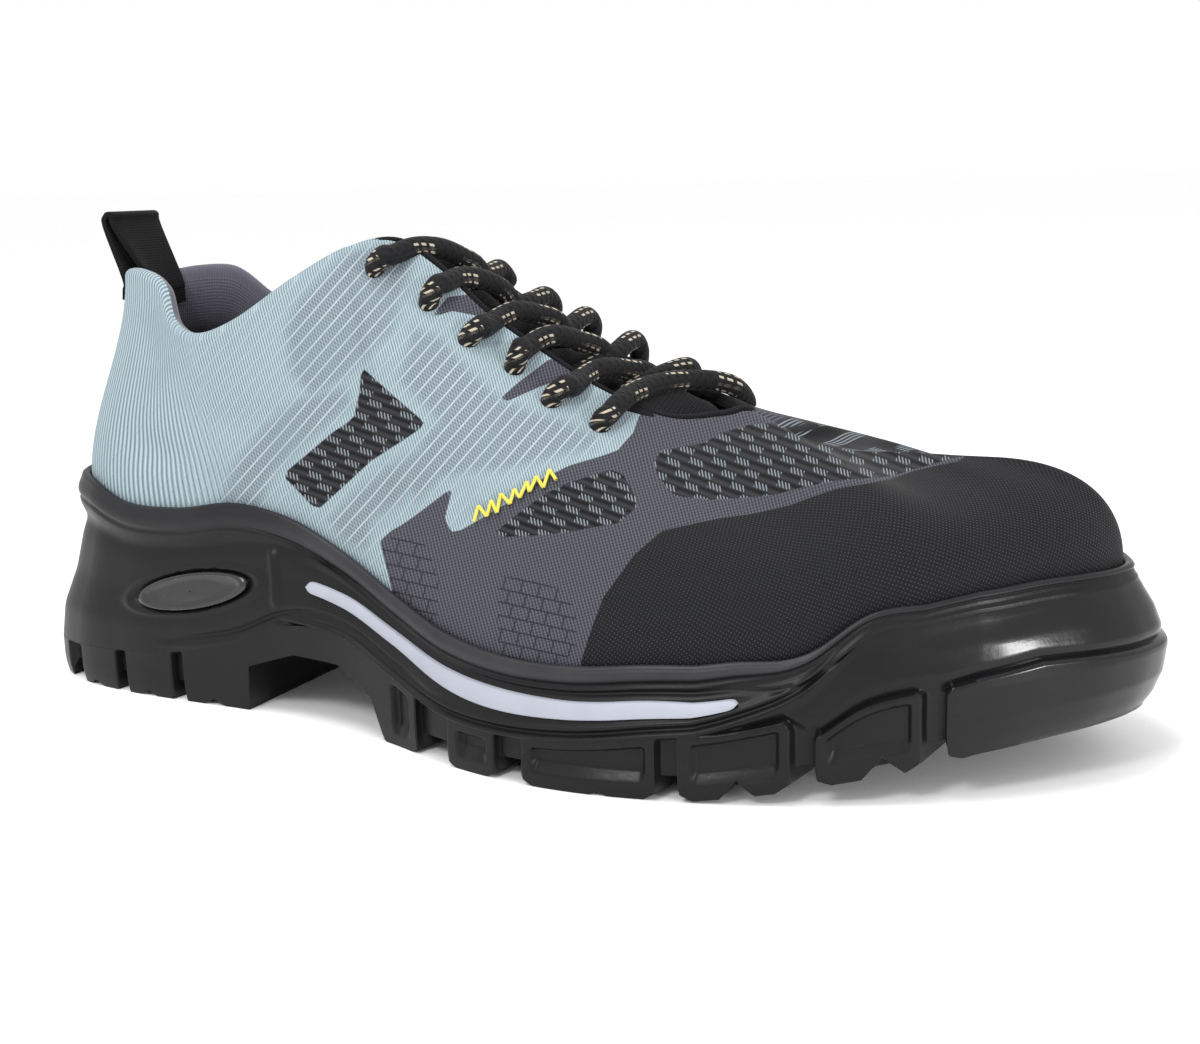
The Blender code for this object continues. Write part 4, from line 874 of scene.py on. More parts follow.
def inner_face(place, v, clear=0.0):
    """Points on the inner face of the upper's wall, or a clearance below it."""
    place, v = np.broadcast_arrays(np.asarray(place, float), np.asarray(v, float))
    down = skin_normal(place, v)
    ridge = ((section_of(place) > VAMP - 0.3) * np.clip(v, 0, 1) ** 3)[..., None]
    down = unit(down * (1 - ridge) + np.array((0, 0, 1.0)) * ridge)
    bent = skin(place, v) - down * (wall_at(place, v) + clear)[..., None]
    buried = skin(place, v) + inward(place) * (WALL + clear)
    return np.where((v <= 0)[..., None], buried, bent)


def picture(points):
    """Pixels of the photograph where points are seen."""
    away = points - (EYE + np.array((HEEL_CENTRE, 0, 0)))
    depth = away @ AHEAD
    return np.stack([PICTURE_WIDTH / 2 + FOCAL * (away @ RIGHT) / depth,
                     PICTURE_HEIGHT / 2 - FOCAL * (away @ ABOVE) / depth], axis=-1)


def inside_by(pixels, corners):
    """How far pixels lie inside an outline, below zero outside it."""
    best = np.full(pixels.shape[:-1], 1e9)
    inside = np.zeros(pixels.shape[:-1], bool)
    px, py = pixels[..., 0], pixels[..., 1]
    for (x0, y0), (x1, y1) in zip(corners, corners[1:] + corners[:1]):
        dx, dy = x1 - x0, y1 - y0
        share = np.clip(((px - x0) * dx + (py - y0) * dy) / (dx * dx + dy * dy), 0, 1)
        best = np.minimum(best, np.hypot(px - x0 - share * dx, py - y0 - share * dy))
        crosses = (y0 > py) != (y1 > py)
        inside ^= crosses & (px < x0 + (py - y0) * dx / (dy if dy else 1e-9))
    return np.where(inside, best, -best)


# Outlines of the knitted panels, in the photograph's pixels
SLATE = [(380, 541), (390, 531), (400, 525), (424, 508), (453, 487), (444, 518), (450, 532),
         (460, 530), (477, 521), (506, 504), (540, 480), (570, 465), (618, 449), (633, 433),
         (641, 411), (652, 380), (700, 330), (1300, 250), (1300, 900), (430, 900), (392, 590)]
SPUR_BACK = [(430, 318), (448, 297), (487, 292), (505, 318), (478, 316), (452, 311)]
SPUR_FRONT = [(499, 399), (519, 382), (548, 360), (580, 352), (590, 376), (567, 377), (537, 388),
              (508, 401)]
TOE = [(581, 662), (591, 630), (603, 598), (613, 584), (634, 555), (662, 531), (713, 519),
       (790, 504), (841, 489), (892, 479), (917, 470), (960, 461), (990, 430), (1300, 380),
       (1300, 900), (560, 900)]
WINDOW_SIDE = [(364, 369), (394, 396), (424, 422), (421, 428), (407, 438), (388, 450), (370, 462),
               (345, 485), (320, 508), (312, 506), (300, 493), (285, 478), (288, 470), (306, 455),
               (333, 432), (347, 423), (354, 416), (359, 395), (361, 374)]
WINDOW_BALL = [(494, 533), (520, 512), (545, 494), (570, 482), (613, 468), (623, 472), (630, 485),
               (637, 499), (636, 508), (618, 523), (580, 530), (545, 535), (504, 537)]
WINDOW_VAMP = [(654, 461), (662, 450), (703, 443), (723, 433), (749, 425), (785, 422), (840, 400),
               (900, 400), (990, 420), (985, 452), (953, 458), (892, 476), (841, 481), (777, 493),
               (713, 498), (675, 495), (659, 476)]
BLOCKS_BACK = [(380, 543), (398, 536), (425, 546), (438, 580), (436, 640), (426, 656), (396, 640),
               (384, 600)]
BLOCKS_FRONT = [(500, 577), (530, 580), (560, 590), (575, 610), (576, 645), (560, 668), (500, 664),
                (498, 620)]
RIPSTOP_COLLAR = [(286, 330), (300, 300), (345, 256), (385, 246), (412, 262), (400, 300), (392, 330),
                  (366, 356), (338, 380), (312, 396), (292, 372)]
RIPSTOP_EYES = [(414, 330), (440, 338), (452, 352), (470, 372), (500, 400), (530, 412), (562, 420),
                (596, 436), (590, 446), (540, 460), (500, 470), (470, 470), (440, 478), (416, 500),
                (404, 478), (424, 440), (440, 420), (400, 380)]
RIPSTOP_HEEL = [(215, 520), (232, 470), (262, 430), (300, 400), (344, 388), (350, 404), (322, 428),
                (292, 452), (272, 474), (262, 500), (256, 522)]
RIPSTOP_WAIST = [(330, 520), (352, 496), (386, 470), (420, 450), (440, 452), (430, 472), (400, 500),
                 (372, 520), (366, 548), (344, 540)]

half_upper = np.linspace(0, ROUND / 2, UPPER_COLUMNS + 1)
upper_places = np.concatenate([half_upper, ROUND - half_upper[-2:0:-1]])
upper_v = np.concatenate([[-0.30, -0.15], np.linspace(0, 1, UPPER_ROWS)])[:, None]
upper_grid = skin(upper_places[None, :], upper_v)
upper_normals = skin_normal(upper_places[None, :], upper_v)
# Soft creases: place, v, length along and across, depth; a ridge has a depth below zero
CREASES = [
    (place_of(LATERAL, 13.6), 0.62, 0.016, 0.10, 0.0007),
    (place_of(LATERAL, 15.2), 0.55, 0.010, 0.20, 0.0008),
    (place_of(LATERAL, 16.1), 0.60, 0.009, 0.22, -0.0006),
    (place_of(LATERAL, 4.4), 0.28, 0.014, 0.09, 0.0008),
    (place_of(LATERAL, 6.5), 0.50, 0.016, 0.12, 0.0006),
    (place_of(LATERAL, 9.5), 0.22, 0.020, 0.08, 0.0006),
    (place_of(MEDIAL, 5.2), 0.35, 0.016, 0.10, 0.0008),
    (place_of(MEDIAL, 9.0), 0.30, 0.020, 0.10, 0.0007),
    (place_of(MEDIAL, 14.5), 0.50, 0.012, 0.20, 0.0009),
    (place_of(MEDIAL, 15.6), 0.55, 0.010, 0.22, -0.0006)]
dents = np.zeros(upper_grid.shape[:2])
for place, v, long, wide, depth in CREASES:
    away = np.abs((upper_places[None, :] - place + ROUND / 2) % ROUND - ROUND / 2)
    dents += depth * np.exp(-(away / long) ** 2 - ((upper_v - v) / wide) ** 2)
upper_grid = upper_grid - upper_normals * (dents * ease(upper_v, 0.02, 0.10))[..., None]

first_half = np.arange(UPPER_COLUMNS + 1)
mirror = np.concatenate([first_half, first_half[-2:0:-1]])
seen = picture(skin(upper_places[None, :], upper_v))[:, mirror]
PIXELS_PER_MM = 3.8


def drawn(*outlines):
    """Distance inside the nearest of some outlines, in millimetres, on both sides alike."""
    return np.max([inside_by(seen, corners) for corners in outlines], axis=0) / PIXELS_PER_MM


level_run = np.linalg.norm(np.diff(skin(half_upper, 0.5), axis=0), axis=-1)
length_along = np.concatenate([[0], np.cumsum(level_run)])[mirror] * 1000
climb = np.linalg.norm(np.diff(upper_grid, axis=0), axis=-1)
height_up = np.concatenate([np.zeros((1, len(upper_places))), np.cumsum(climb, axis=0)]) * 1000
soft_height = height_up.copy()
for step in range(1, 15):
    soft_height += np.roll(height_up, step, axis=1) + np.roll(height_up, -step, axis=1)
height_up = soft_height / 29
flat_map = np.stack([np.broadcast_to(length_along, height_up.shape), height_up,
                     np.zeros_like(height_up)], axis=-1)
slate = np.maximum(drawn(SLATE), drawn(SPUR_BACK, SPUR_FRONT))
seen_map = np.stack([seen[..., 0], -seen[..., 1], seen[..., 0] * 0], axis=-1) / PIXELS_PER_MM
layers = {
    "cloth": flat_map, "view": seen_map, "slate": slate, "toe": drawn(TOE),
    "window": drawn(WINDOW_SIDE, WINDOW_BALL, WINDOW_VAMP),
    "blocks": drawn(BLOCKS_BACK, BLOCKS_FRONT),
    "ripstop": drawn(RIPSTOP_COLLAR, RIPSTOP_EYES, RIPSTOP_HEEL, RIPSTOP_WAIST),
    "heel": np.broadcast_to(1 - ease(length_along, 50, 80), height_up.shape)}
for key, value in layers.items():
    layers[key] = np.concatenate([value, value[-1:], value[-1:], value[-1:]])
upper_edge = skin(upper_places, 1.0)
edge_in = inner_face(upper_places, 1.0)
edge_up = unit(upper_edge - skin(upper_places, 0.97))
edge_wide = np.linalg.norm(edge_in - upper_edge, axis=-1)[:, None]
open_edge = (section_of(upper_places) < VAMP)[:, None]


def edge_roll(turn):
    """Points round the top edge, from the outer face at 0 to the inner face at 180."""
    across = (edge_in - upper_edge) * (1 - math.cos(math.radians(turn))) / 2
    return upper_edge + across + edge_up * edge_wide / 2 * math.sin(math.radians(turn)) * open_edge


rolled = np.stack([edge_roll(turn) for turn in (30, 60, 90)])
knit_grid = np.concatenate([upper_grid, rolled])
upper = mesh_piece("upper_knit", [(knit_grid, True, True, layers)], weld=True, smooth=80)

knit = Finish("knit", {"Specular IOR Level": 0.14, "Sheen Weight": 0.06, "Sheen Roughness": 0.5})
a, b = knit.pair("cloth")
u, w = knit.pair("view")
slate_here = knit.layer("slate").soft(-0.15, 0.15)
toe_here = knit.layer("toe").soft(-0.15, 0.15)
window_here = knit.layer("window").soft(-0.2, 0.2)
block_here = knit.layer("blocks").soft(-0.4, 0.1)
ripstop_here = knit.layer("ripstop").soft(-2.4, 2.0)
heel_here = knit.layer("heel")
cloudy = knit.noise(55, 3)
fuzz = knit.noise(2200, 2)

steep = u * math.sin(math.radians(75)) + w * math.cos(math.radians(75))
hatch = steep.wave(0.72) * 0.5 + 0.5
upright = (a + b * 0.12).wave(1.5) * 0.5 + 0.5
hatch = hatch * (1 - heel_here) + upright * heel_here
diagonal = u * math.sin(math.radians(49)) - w * math.cos(math.radians(49))
line_share = abs((diagonal / 2.9).fraction() - 0.5)
white_line = line_share.soft(0.40, 0.47)
cross = (u * 0.5 + w * 0.87).wave(0.9) * 0.5 + 0.5
ground = knit.mix(hatch, paint(96, 115, 123), paint(166, 181, 187))
grey = knit.mix(hatch * 0.6 + cross * 0.4, paint(80, 92, 101), paint(146, 158, 166))
light = knit.mix(ripstop_here * (1 - heel_here * 0.3), ground, grey)
light = knit.mix(white_line * (0.30 + ripstop_here * 0.55) * (1 - heel_here * 0.8), light,
                 paint(178, 189, 193))
light = knit.mix(cloudy.soft(0.45, 0.8) * 0.35, light, paint(118, 136, 145))

twill_run = steep.wave(0.85) * 0.5 + 0.5
twill_cross = (u * 0.26 - w * 0.97).wave(0.8) * 0.5 + 0.5
dark = knit.mix(twill_run * 0.7 + twill_cross * 0.3, paint(32, 32, 38), paint(88, 88, 97))
block_up = w + u * 0.22
block_row = (block_up / 3.5).floor()
block_u = (u / 4.8 - w * 0.05 + block_row * 0.37).fraction()
block_v = (block_up / 3.5).fraction()
outline_u = abs(block_u - 0.5).soft(0.44, 0.48)
outline_v = abs(block_v - 0.5).soft(0.42, 0.47)
block_line = outline_u.most(outline_v) * block_here
dark = knit.mix(block_line * 0.7, dark, paint(20, 20, 23))

rib_along = u * math.cos(math.radians(20)) - w * math.sin(math.radians(20))
rib_across = u * math.sin(math.radians(20)) + w * math.cos(math.radians(20))
rib = rib_across.wave(2.1) * 0.5 + 0.5
tick_row = (rib_across / 2.1).floor()
tick_v = (rib_across / 2.1).fraction()
cluster = (rib_along / 9.0 + tick_row * 0.37).fraction()
tick = (rib_along + tick_v * 1.2).wave(0.95).soft(0.0, 0.6)
ticks = tick * (1 - abs(cluster - 0.5).soft(0.20, 0.22)) * (1 - abs(tick_v - 0.5).soft(0.30, 0.42))
mesh_colour = knit.mix(rib, paint(9, 10, 12), paint(44, 44, 48))
mesh_colour = knit.mix(ticks, mesh_colour, paint(122, 130, 136))

toe_run = (a * 0.55 + b * 0.83).wave(0.86) * 0.5 + 0.5
toe_cross = (a * 0.83 - b * 0.55).wave(0.74) * 0.5 + 0.5
toe_dots = (toe_run * toe_cross).soft(0.45, 0.95)
toe_colour = knit.mix(toe_dots * 0.8 + fuzz * 0.15, paint(9, 9, 11), paint(60, 61, 65))

colour = knit.mix(slate_here, light, dark)
colour = knit.mix(window_here, colour, mesh_colour)
colour = knit.mix(toe_here, colour, toe_colour)
knit.feed("Base Color", colour)
knit.feed("Roughness", 0.86 - toe_here * 0.16 - window_here * 0.1)
weave = (hatch * 0.5 + white_line * 0.6) * (1 - slate_here) + (twill_run * 0.5) * slate_here
weave = weave * (1 - window_here) + (rib + ticks * 0.5) * window_here
weave = weave * (1 - toe_here) + toe_dots * toe_here
knit.relief(weave + fuzz * 0.3 - block_line * 0.8, 0.00022, 0.75)
settle(upper, "upper_knit", knit, "upper")

# Lining
# Grey jersey over foam: it rolls over the collar's edge, pads it, and runs down inside to
# the foot bed. It is sewn to the knitted upper along the top edge.
ROLL_TURNS = (90, 120, 150, 180)
lining_v = np.concatenate([np.linspace(1, 0, 46), [-0.3, -0.7, -1.0]])
inside = inner_face(upper_places[None, :], lining_v[1:, None])
lining_grid = np.concatenate([np.stack([edge_roll(turn) for turn in ROLL_TURNS]), inside])
lining_height = np.concatenate([np.zeros(len(ROLL_TURNS)), np.arange(len(lining_v) - 1) * 1.6])
lining_map = np.stack([np.broadcast_to(length_along, lining_grid.shape[:2]),
                       np.broadcast_to(lining_height[:, None], lining_grid.shape[:2]),
                       np.zeros(lining_grid.shape[:2])], axis=-1)
lining = mesh_piece("lining_jersey", [(lining_grid, True, False, {"cloth": lining_map})],
                    weld=True, smooth=80)
jersey = Finish("jersey", {"Specular IOR Level": 0.2, "Sheen Weight": 0.3, "Sheen Roughness": 0.5})
a, b = jersey.pair("cloth")
loops = (a.wave(0.8) * 0.5 + 0.5) * (b.wave(1.1) * 0.5 + 0.5)
# Painted shade: the jersey darkens to near black further down inside the shoe, where shadow falls.
painted_inside_shade = b.soft(9.0, 26.0)
cloudy = jersey.noise(60, 3)
grey = jersey.mix(loops * 0.7 + cloudy * 0.3, paint(78, 77, 88), paint(104, 102, 115))
jersey.feed("Base Color", jersey.mix(painted_inside_shade, grey, paint(14, 14, 16)))
jersey.feed("Roughness", 0.88 + cloudy * 0.08)
jersey.relief(loops, 0.0002, 0.7)
settle(lining, "upper_knit", jersey)

# Insole
# Loose foot bed of black felt over foam, cut to the inside of the upper.
INSOLE_THICK = 0.004
insole_inset = LIP_WALL + 2 * GAP + CUP_TAPER + WALL + 2 * GAP
bed_rows = []
for share in np.linspace(0, 1, 14):
    edge = outline(upper_places, rim_inset(upper_places) + insole_inset,
                   bed_z(upper_places) + GAP + INSOLE_THICK * (1 - (1 - min(share * 8, 1)) ** 2))
    centre = (edge + np.roll(edge[::-1], 1, axis=0)) / 2
    bed_rows.append(edge + (centre - edge) * share)
insole = mesh_piece("insole_bed", [(np.stack(bed_rows), True, True, {})], weld=True)
felt = Finish("felt", {"Specular IOR Level": 0.2})
fibres = felt.noise(900, 4)
felt.feed("Base Color", felt.mix(fibres, paint(22, 22, 24), paint(44, 44, 47)))
felt.feed("Roughness", 0.88 + fibres * 0.1)
felt.relief(fibres, 0.0003, 0.7)
settle(insole, "insole_fabric", felt, "insole")

# Laces
# One black braided cord, 5.2 mm thick, with cream dashes. It is threaded from the front
# pair of eyelets to the top pair, crossing over the tongue, and its ends are hidden there.
EYELETS = 6
EYELET_INSET = 0.0105
EYELET_PIXELS = [(375, 270), (427, 303), (467, 338), (513, 368), (552, 401), (600, 425)]
LACE_RADIUS = 0.0026
EYELET_DIVE = 0.004        # how far a strand goes in through its eyelet
LACE_DIVE = 0.003          # how far a strand sinks where it goes under the throat's edge
BAR_HOLE_COLUMN = 744      # pixel column of the front inner eyelet
# Middle of each visible run in the photograph's pixels, and its y in millimetres
LATERAL_RUNS = [
    [(392, 255, -19), (415, 247, -13), (440, 248, -7), (462, 257, -1), (478, 268, 4)],
    [(444, 283, -17), (460, 277, -12), (478, 278, -7), (497, 286, -1), (509, 297, 4)],
    [(484, 328, -18), (500, 317, -13), (516, 311, -8), (537, 314, -2), (558, 322, 4)],
    [(521, 352, -18), (537, 340, -13), (555, 335, -8), (577, 340, -2), (601, 349, 5)],
    [(573, 386, -16), (587, 374, -11), (604, 368, -6), (626, 369, 1), (650, 374, 8)]]
MEDIAL_RUNS = [
    [(499, 269, 19), (488, 274, 12), (473, 280, 5)],
    [(545, 296, 20), (532, 301, 13), (516, 307, 6)],
    [(585, 316, 19), (570, 326, 10), (556, 333, 4)],
    [(632, 340, 18), (614, 354, 8), (600, 361, 4)],
    [(686, 367, 17), (656, 377, 7), (638, 384, 3)]]
BAR_RUN = [(609, 414, -21), (619, 403, -17), (635, 391, -9), (657, 384, -1), (687, 380, 7),
           (715, 381, 12), (735, 387, 16)]


def in_space(x, y, depth_y):
    """The point seen at a pixel of the photograph whose own y is given, in millimetres."""
    ray = AHEAD + RIGHT * (x - PICTURE_WIDTH / 2) / FOCAL + ABOVE * (PICTURE_HEIGHT / 2 - y) / FOCAL
    eye = EYE + np.array((HEEL_CENTRE, 0, 0))
    return eye + ray * (depth_y / 1000 - eye[1]) / ray[1]


lateral_pixels = picture(upper_grid[:, :UPPER_COLUMNS + 1])


def seen_at(x, y):
    """Row and column of the upper's point that a pixel of the photograph shows."""
    away = np.hypot(lateral_pixels[..., 0] - x, lateral_pixels[..., 1] - y)
    away[:3] = 1e9
    return np.unravel_index(np.argmin(away), away.shape)


def hole_behind(pixel_x):
    """Place and middle of the inner eyelet that lies straight behind a pixel column."""
    spots = []
    for place in place_of(MEDIAL, np.linspace(8.6, 16.4, 60)):
        hole = skin(place, top_reach(float(place), EYELET_INSET))
        spots.append((abs(picture(hole)[0] - pixel_x), float(place)))
    place = min(spots)[1]
    v = top_reach(place, EYELET_INSET)
    return place, skin(place, v), skin_normal(place, v)


def clear_of_knit(x, y, depth_y):
    """The point seen at a pixel, brought forward until a cord there lies on the knit."""
    for step in range(24):
        point = in_space(x, y, depth_y - step * 0.5)
        nearest = np.argmin(np.linalg.norm(knit_points - point, axis=-1))
        if nearest >= len(knit_points) - UPPER_COLUMNS - 1:
            break
        if (point - knit_points[nearest]) @ knit_normals[nearest] > LACE_RADIUS * 0.85:
            break
    return point


def under_edge(place):
    """A point under the throat's edge, where a cord goes in to its eyelet."""
    return inner_face(place, top_reach(float(place), 0.006), LACE_RADIUS + 0.0004)


def smooth_path(points, steps):
    """Points along a smooth curve through a few of them."""
    points = [np.asarray(p, float) for p in points]
    padded = [2 * points[0] - points[1], *points, 2 * points[-1] - points[-2]]
    path = []
    for p0, p1, p2, p3 in zip(padded, padded[1:], padded[2:], padded[3:]):
        for k in range(steps):
            s = k / steps
            path.append(0.5 * (2 * p1 + (p2 - p0) * s + (2 * p0 - 5 * p1 + 4 * p2 - p3) * s * s
                               + (3 * p1 - p0 - 3 * p2 + p3) * s ** 3))
    path.append(points[-1])
    return np.array(path)


def tube_grid(path, radius, sides=20):
    """Rings round a path, and the length along and the turn round it of each point."""
    runs = unit(np.gradient(path, axis=0))
    across = unit(np.cross(runs, np.array((0.12, 0.05, 1.0))))
    up = np.cross(across, runs)
    turns = np.linspace(0, 2 * math.pi, sides, endpoint=False)
    radius = np.broadcast_to(np.asarray(radius, float), len(path))[:, None, None]
    ring = (across[:, None] * np.cos(turns)[None, :, None]
            + up[:, None] * np.sin(turns)[None, :, None])
    gone = np.concatenate([[0], np.cumsum(np.linalg.norm(np.diff(path, axis=0), axis=-1))]) * 1000
    numbers = np.stack([np.broadcast_to(gone[:, None], (len(path), sides)),
                        np.broadcast_to(turns, (len(path), sides)),
                        np.zeros((len(path), sides))], axis=-1)
    return path[:, None] + ring * radius, numbers


knit_points = upper_grid[60:, :UPPER_COLUMNS + 1].reshape(-1, 3)
knit_normals = upper_normals[60:, :UPPER_COLUMNS + 1].reshape(-1, 3)
lateral_holes = []
for pixel in EYELET_PIXELS:
    at = seen_at(*pixel)
    lateral_holes.append((upper_places[at[1]], upper_grid[at], upper_normals[at]))
medial_holes = [hole_behind(run[0][0] + 2) for run in MEDIAL_RUNS] + [hole_behind(BAR_HOLE_COLUMN)]
lace_lines = []
for n, run in enumerate(LATERAL_RUNS):
    place, hole, out = lateral_holes[n]
    mids = [clear_of_knit(*point) for point in run]
    leave = unit(mids[0] - hole)
    end = under_edge(medial_holes[n + 1][0])
    dive = mids[-1] + (end - mids[-1]) * 0.4 - np.array((0, 0, LACE_DIVE))
    lace_lines.append([hole - out * EYELET_DIVE, hole + out * 0.0010 + leave * 0.0006,
                       hole + out * 0.0020 + leave * 0.004, *mids, dive, end])
for n, run in enumerate(MEDIAL_RUNS):
    place, hole, out = medial_holes[n]
    mids = [in_space(*point) for point in run]
    over = mids[0] + np.array((0, 0.0045, -0.0030))
    end = under_edge(lateral_holes[n + 1][0])
    dive = mids[-1] + (end - mids[-1]) * 0.5 - np.array((0, 0, LACE_DIVE))
    lace_lines.append([hole - out * EYELET_DIVE, hole + out * 0.001, over, *mids, dive, end])
place, near_hole, near_out = lateral_holes[-1]
place, far_hole, far_out = medial_holes[-1]
bar_mids = [in_space(*point) for point in BAR_RUN]
leave = unit(bar_mids[0] - near_hole)
lace_lines.append([near_hole - near_out * EYELET_DIVE,
                   near_hole + near_out * 0.001 + leave * 0.0006,
                   *bar_mids, far_hole + far_out * 0.001, far_hole - far_out * EYELET_DIVE])
braid = Finish("braid", {"Specular IOR Level": 0.15, "Sheen Weight": 0.05})
gone, turn = braid.pair("lace")
plait = ((gone * 2.6 + turn * 4).wave(2 * math.pi) * 0.5 + 0.5).most(
    (gone * 2.6 - turn * 4).wave(2 * math.pi) * 0.5 + 0.5)
third = (turn * (3 / (2 * math.pi)) + gone * 0.02).fraction()
dash_along = (gone / 14.5 + 0.1).fraction()
dash_step = (gone / 2.2 + third * 0.8).fraction()
dash_part = (1 - abs(dash_along - 0.5).soft(0.21, 0.23)) * (1 - abs(dash_step - 0.5).soft(0.26, 0.34))
dash_rows = (1 - abs(third - 0.22).soft(0.05, 0.07)).most(1 - abs(third - 0.56).soft(0.05, 0.07))
dashes = dash_part * dash_rows
braid.feed("Base Color", braid.mix(dashes, braid.mix(
    plait, paint(9, 9, 10), paint(28, 28, 30)), paint(176, 166, 148)))
braid.feed("Roughness", 0.72 + plait * 0.14)
braid.relief(plait + dashes * 0.4, 0.00025, 0.8)
lace_names = ["lace_crossing_%d" % (n + 1) for n in range(EYELETS - 1)] + ["lace_bar"]
lace_paths = [smooth_path(line, 12) for line in lace_lines]
for n, name in enumerate(lace_names):
    strands = [lace_paths[-1]]
    if n < EYELETS - 1:
        strands = [lace_paths[n], lace_paths[n + EYELETS - 1]]
    parts = []
    for path in strands:
        grid, numbers = tube_grid(path, LACE_RADIUS)
        parts.append((grid, True, True, {"lace": numbers}))
    cord = mesh_piece(name + "_cord", parts)
    settle(cord, "lace_cord", braid, name)

# Tongue
# Padded black textile under the laces, sewn in at the front of the throat. Its sides lie
# under the eyestays, and its top end stands a little above the collar.
TONGUE_THICK = 0.0035
TONGUE_LAP = 0.011
TONGUE_CROWN = 0.0032
TONGUE_GAP = 0.0012
TONGUE_END = 0.014
SLOT_LEAST = 0.005
LAP_NARROWING = 0.88       # share of the lap that is lost near the front
FRONT_DROP = 0.0075        # of the tongue's front, to clear the throat's binding
CORD_REACH = 0.0045        # level distance at which a cord presses the tongue down
CORD_CLEARANCE = 0.0003


def tongue_row(t):
    """Points across the tongue: under one eyestay, over the instep, under the other."""
    ends = {side: section_ends(place_of(side, t))[1] for side in (LATERAL, MEDIAL)}
    spare = max(0.0, SLOT_LEAST - np.linalg.norm(ends[MEDIAL] - ends[LATERAL])) / 2
    laps = {}
    for side in (LATERAL, MEDIAL):
        place = float(place_of(side, t))
        lap = TONGUE_LAP * (1 - LAP_NARROWING * float(ease(t, 13.0, 15.4)))
        vs = [top_reach(place, spare + lap * share) for share in (1, 0.67, 0.33, 0)]
        laps[side] = [inner_face(place, v, TONGUE_GAP) for v in vs]
    near, far = laps[LATERAL][-1], laps[MEDIAL][-1]
    crown = TONGUE_CROWN * min(1, np.linalg.norm(far - near) / (4 * SLOT_LEAST))
    middle = [near + (far - near) * s + np.array((0, 0, crown * math.sin(math.pi * s ** 1.3)))
              for s in (0.2, 0.4, 0.6, 0.78, 0.92)]
    return np.array(laps[LATERAL] + middle + laps[MEDIAL][::-1])


tongue_rows = [tongue_row(t) for t in np.linspace(COLLAR_END + 0.6, VAMP - 0.4, 34)]
back = unit(tongue_rows[0] - tongue_rows[2])
back[:, 2] *= 0.2
tongue_end = []
for reach, gather in ((1.0, 0.42), (0.9, 0.36), (0.5, 0.16)):
    moved = tongue_rows[0] + back * TONGUE_END * reach
    moved[:, 1] += (tongue_rows[0][6, 1] - moved[:, 1]) * gather
    tongue_end.append(moved)
tongue_grid = np.array(tongue_end + tongue_rows)
tongue_grid[..., 2] -= FRONT_DROP * ease(np.arange(len(tongue_grid)), 25, 33)[:, None]
lace_points = np.concatenate(lace_paths)
for row in tongue_grid:
    for point in row:
        near = np.hypot(lace_points[:, 0] - point[0], lace_points[:, 1] - point[1]) < CORD_REACH
        if near.any():
            lowest = lace_points[near, 2].min() - LACE_RADIUS - CORD_CLEARANCE
            point[2] = min(point[2], lowest)
tongue_run = np.concatenate([[0], np.cumsum(np.linalg.norm(
    np.diff(tongue_grid[:, 6], axis=0), axis=-1))]) * 1000
tongue_map = np.stack([np.broadcast_to(tongue_run[:, None], tongue_grid.shape[:2]),
                       tongue_grid[..., 1] * 1000, np.zeros(tongue_grid.shape[:2])], axis=-1)
tongue = mesh_piece("tongue_pad", [(tongue_grid, False, True, {"cloth": tongue_map})])
thick = tongue.modifiers.new("thick", "SOLIDIFY")
thick.thickness = TONGUE_THICK
thick.offset = -1
rounder = tongue.modifiers.new("rounder", "SUBSURF")
rounder.levels = 2
rounder.render_levels = 2
textile = Finish("textile", {"Specular IOR Level": 0.15, "Sheen Weight": 0.05})
a, b = textile.pair("cloth")
cells = (a.wave(0.9) * 0.5 + 0.5) * (b.wave(0.9) * 0.5 + 0.5)
cloudy = textile.noise(70, 3)
textile.feed("Base Color", textile.mix(cells * 0.6 + cloudy * 0.3, paint(5, 5, 7), paint(22, 22, 26)))
textile.feed("Roughness", 0.85 + cloudy * 0.1)
textile.relief(cells, 0.0002, 0.7)
settle(tongue, "tongue_fabric", textile, "tongue")

# Throat binding
# A narrow black knitted tape folded over the raw edge of the throat and sewn down, full
# and round where it turns across the front, thin along the eyestays.
binding_t = np.concatenate([np.linspace(6.9, VAMP - 0.02, 90), np.linspace(VAMP - 0.02, 6.9, 90)])
binding_sides = [LATERAL] * 90 + [MEDIAL] * 90
line = []
thickness = []
for t, side in zip(binding_t, binding_sides):
    place = place_of(side, t)
    both = (skin(place, 1.0) + inner_face(place, 1.0)) / 2
    line.append(both)
    thickness.append(0.0003 + 0.0010 * ease(t, 6.9, 7.9) + 0.0005 * ease(t, 14.5, 16.2))
tape_grid, tape_numbers = tube_grid(np.array(line), np.array(thickness), 14)
binding = mesh_piece("throat_binding", [(tape_grid, True, True, {"cloth": tape_numbers})])
settle(binding, "tongue_fabric", textile)

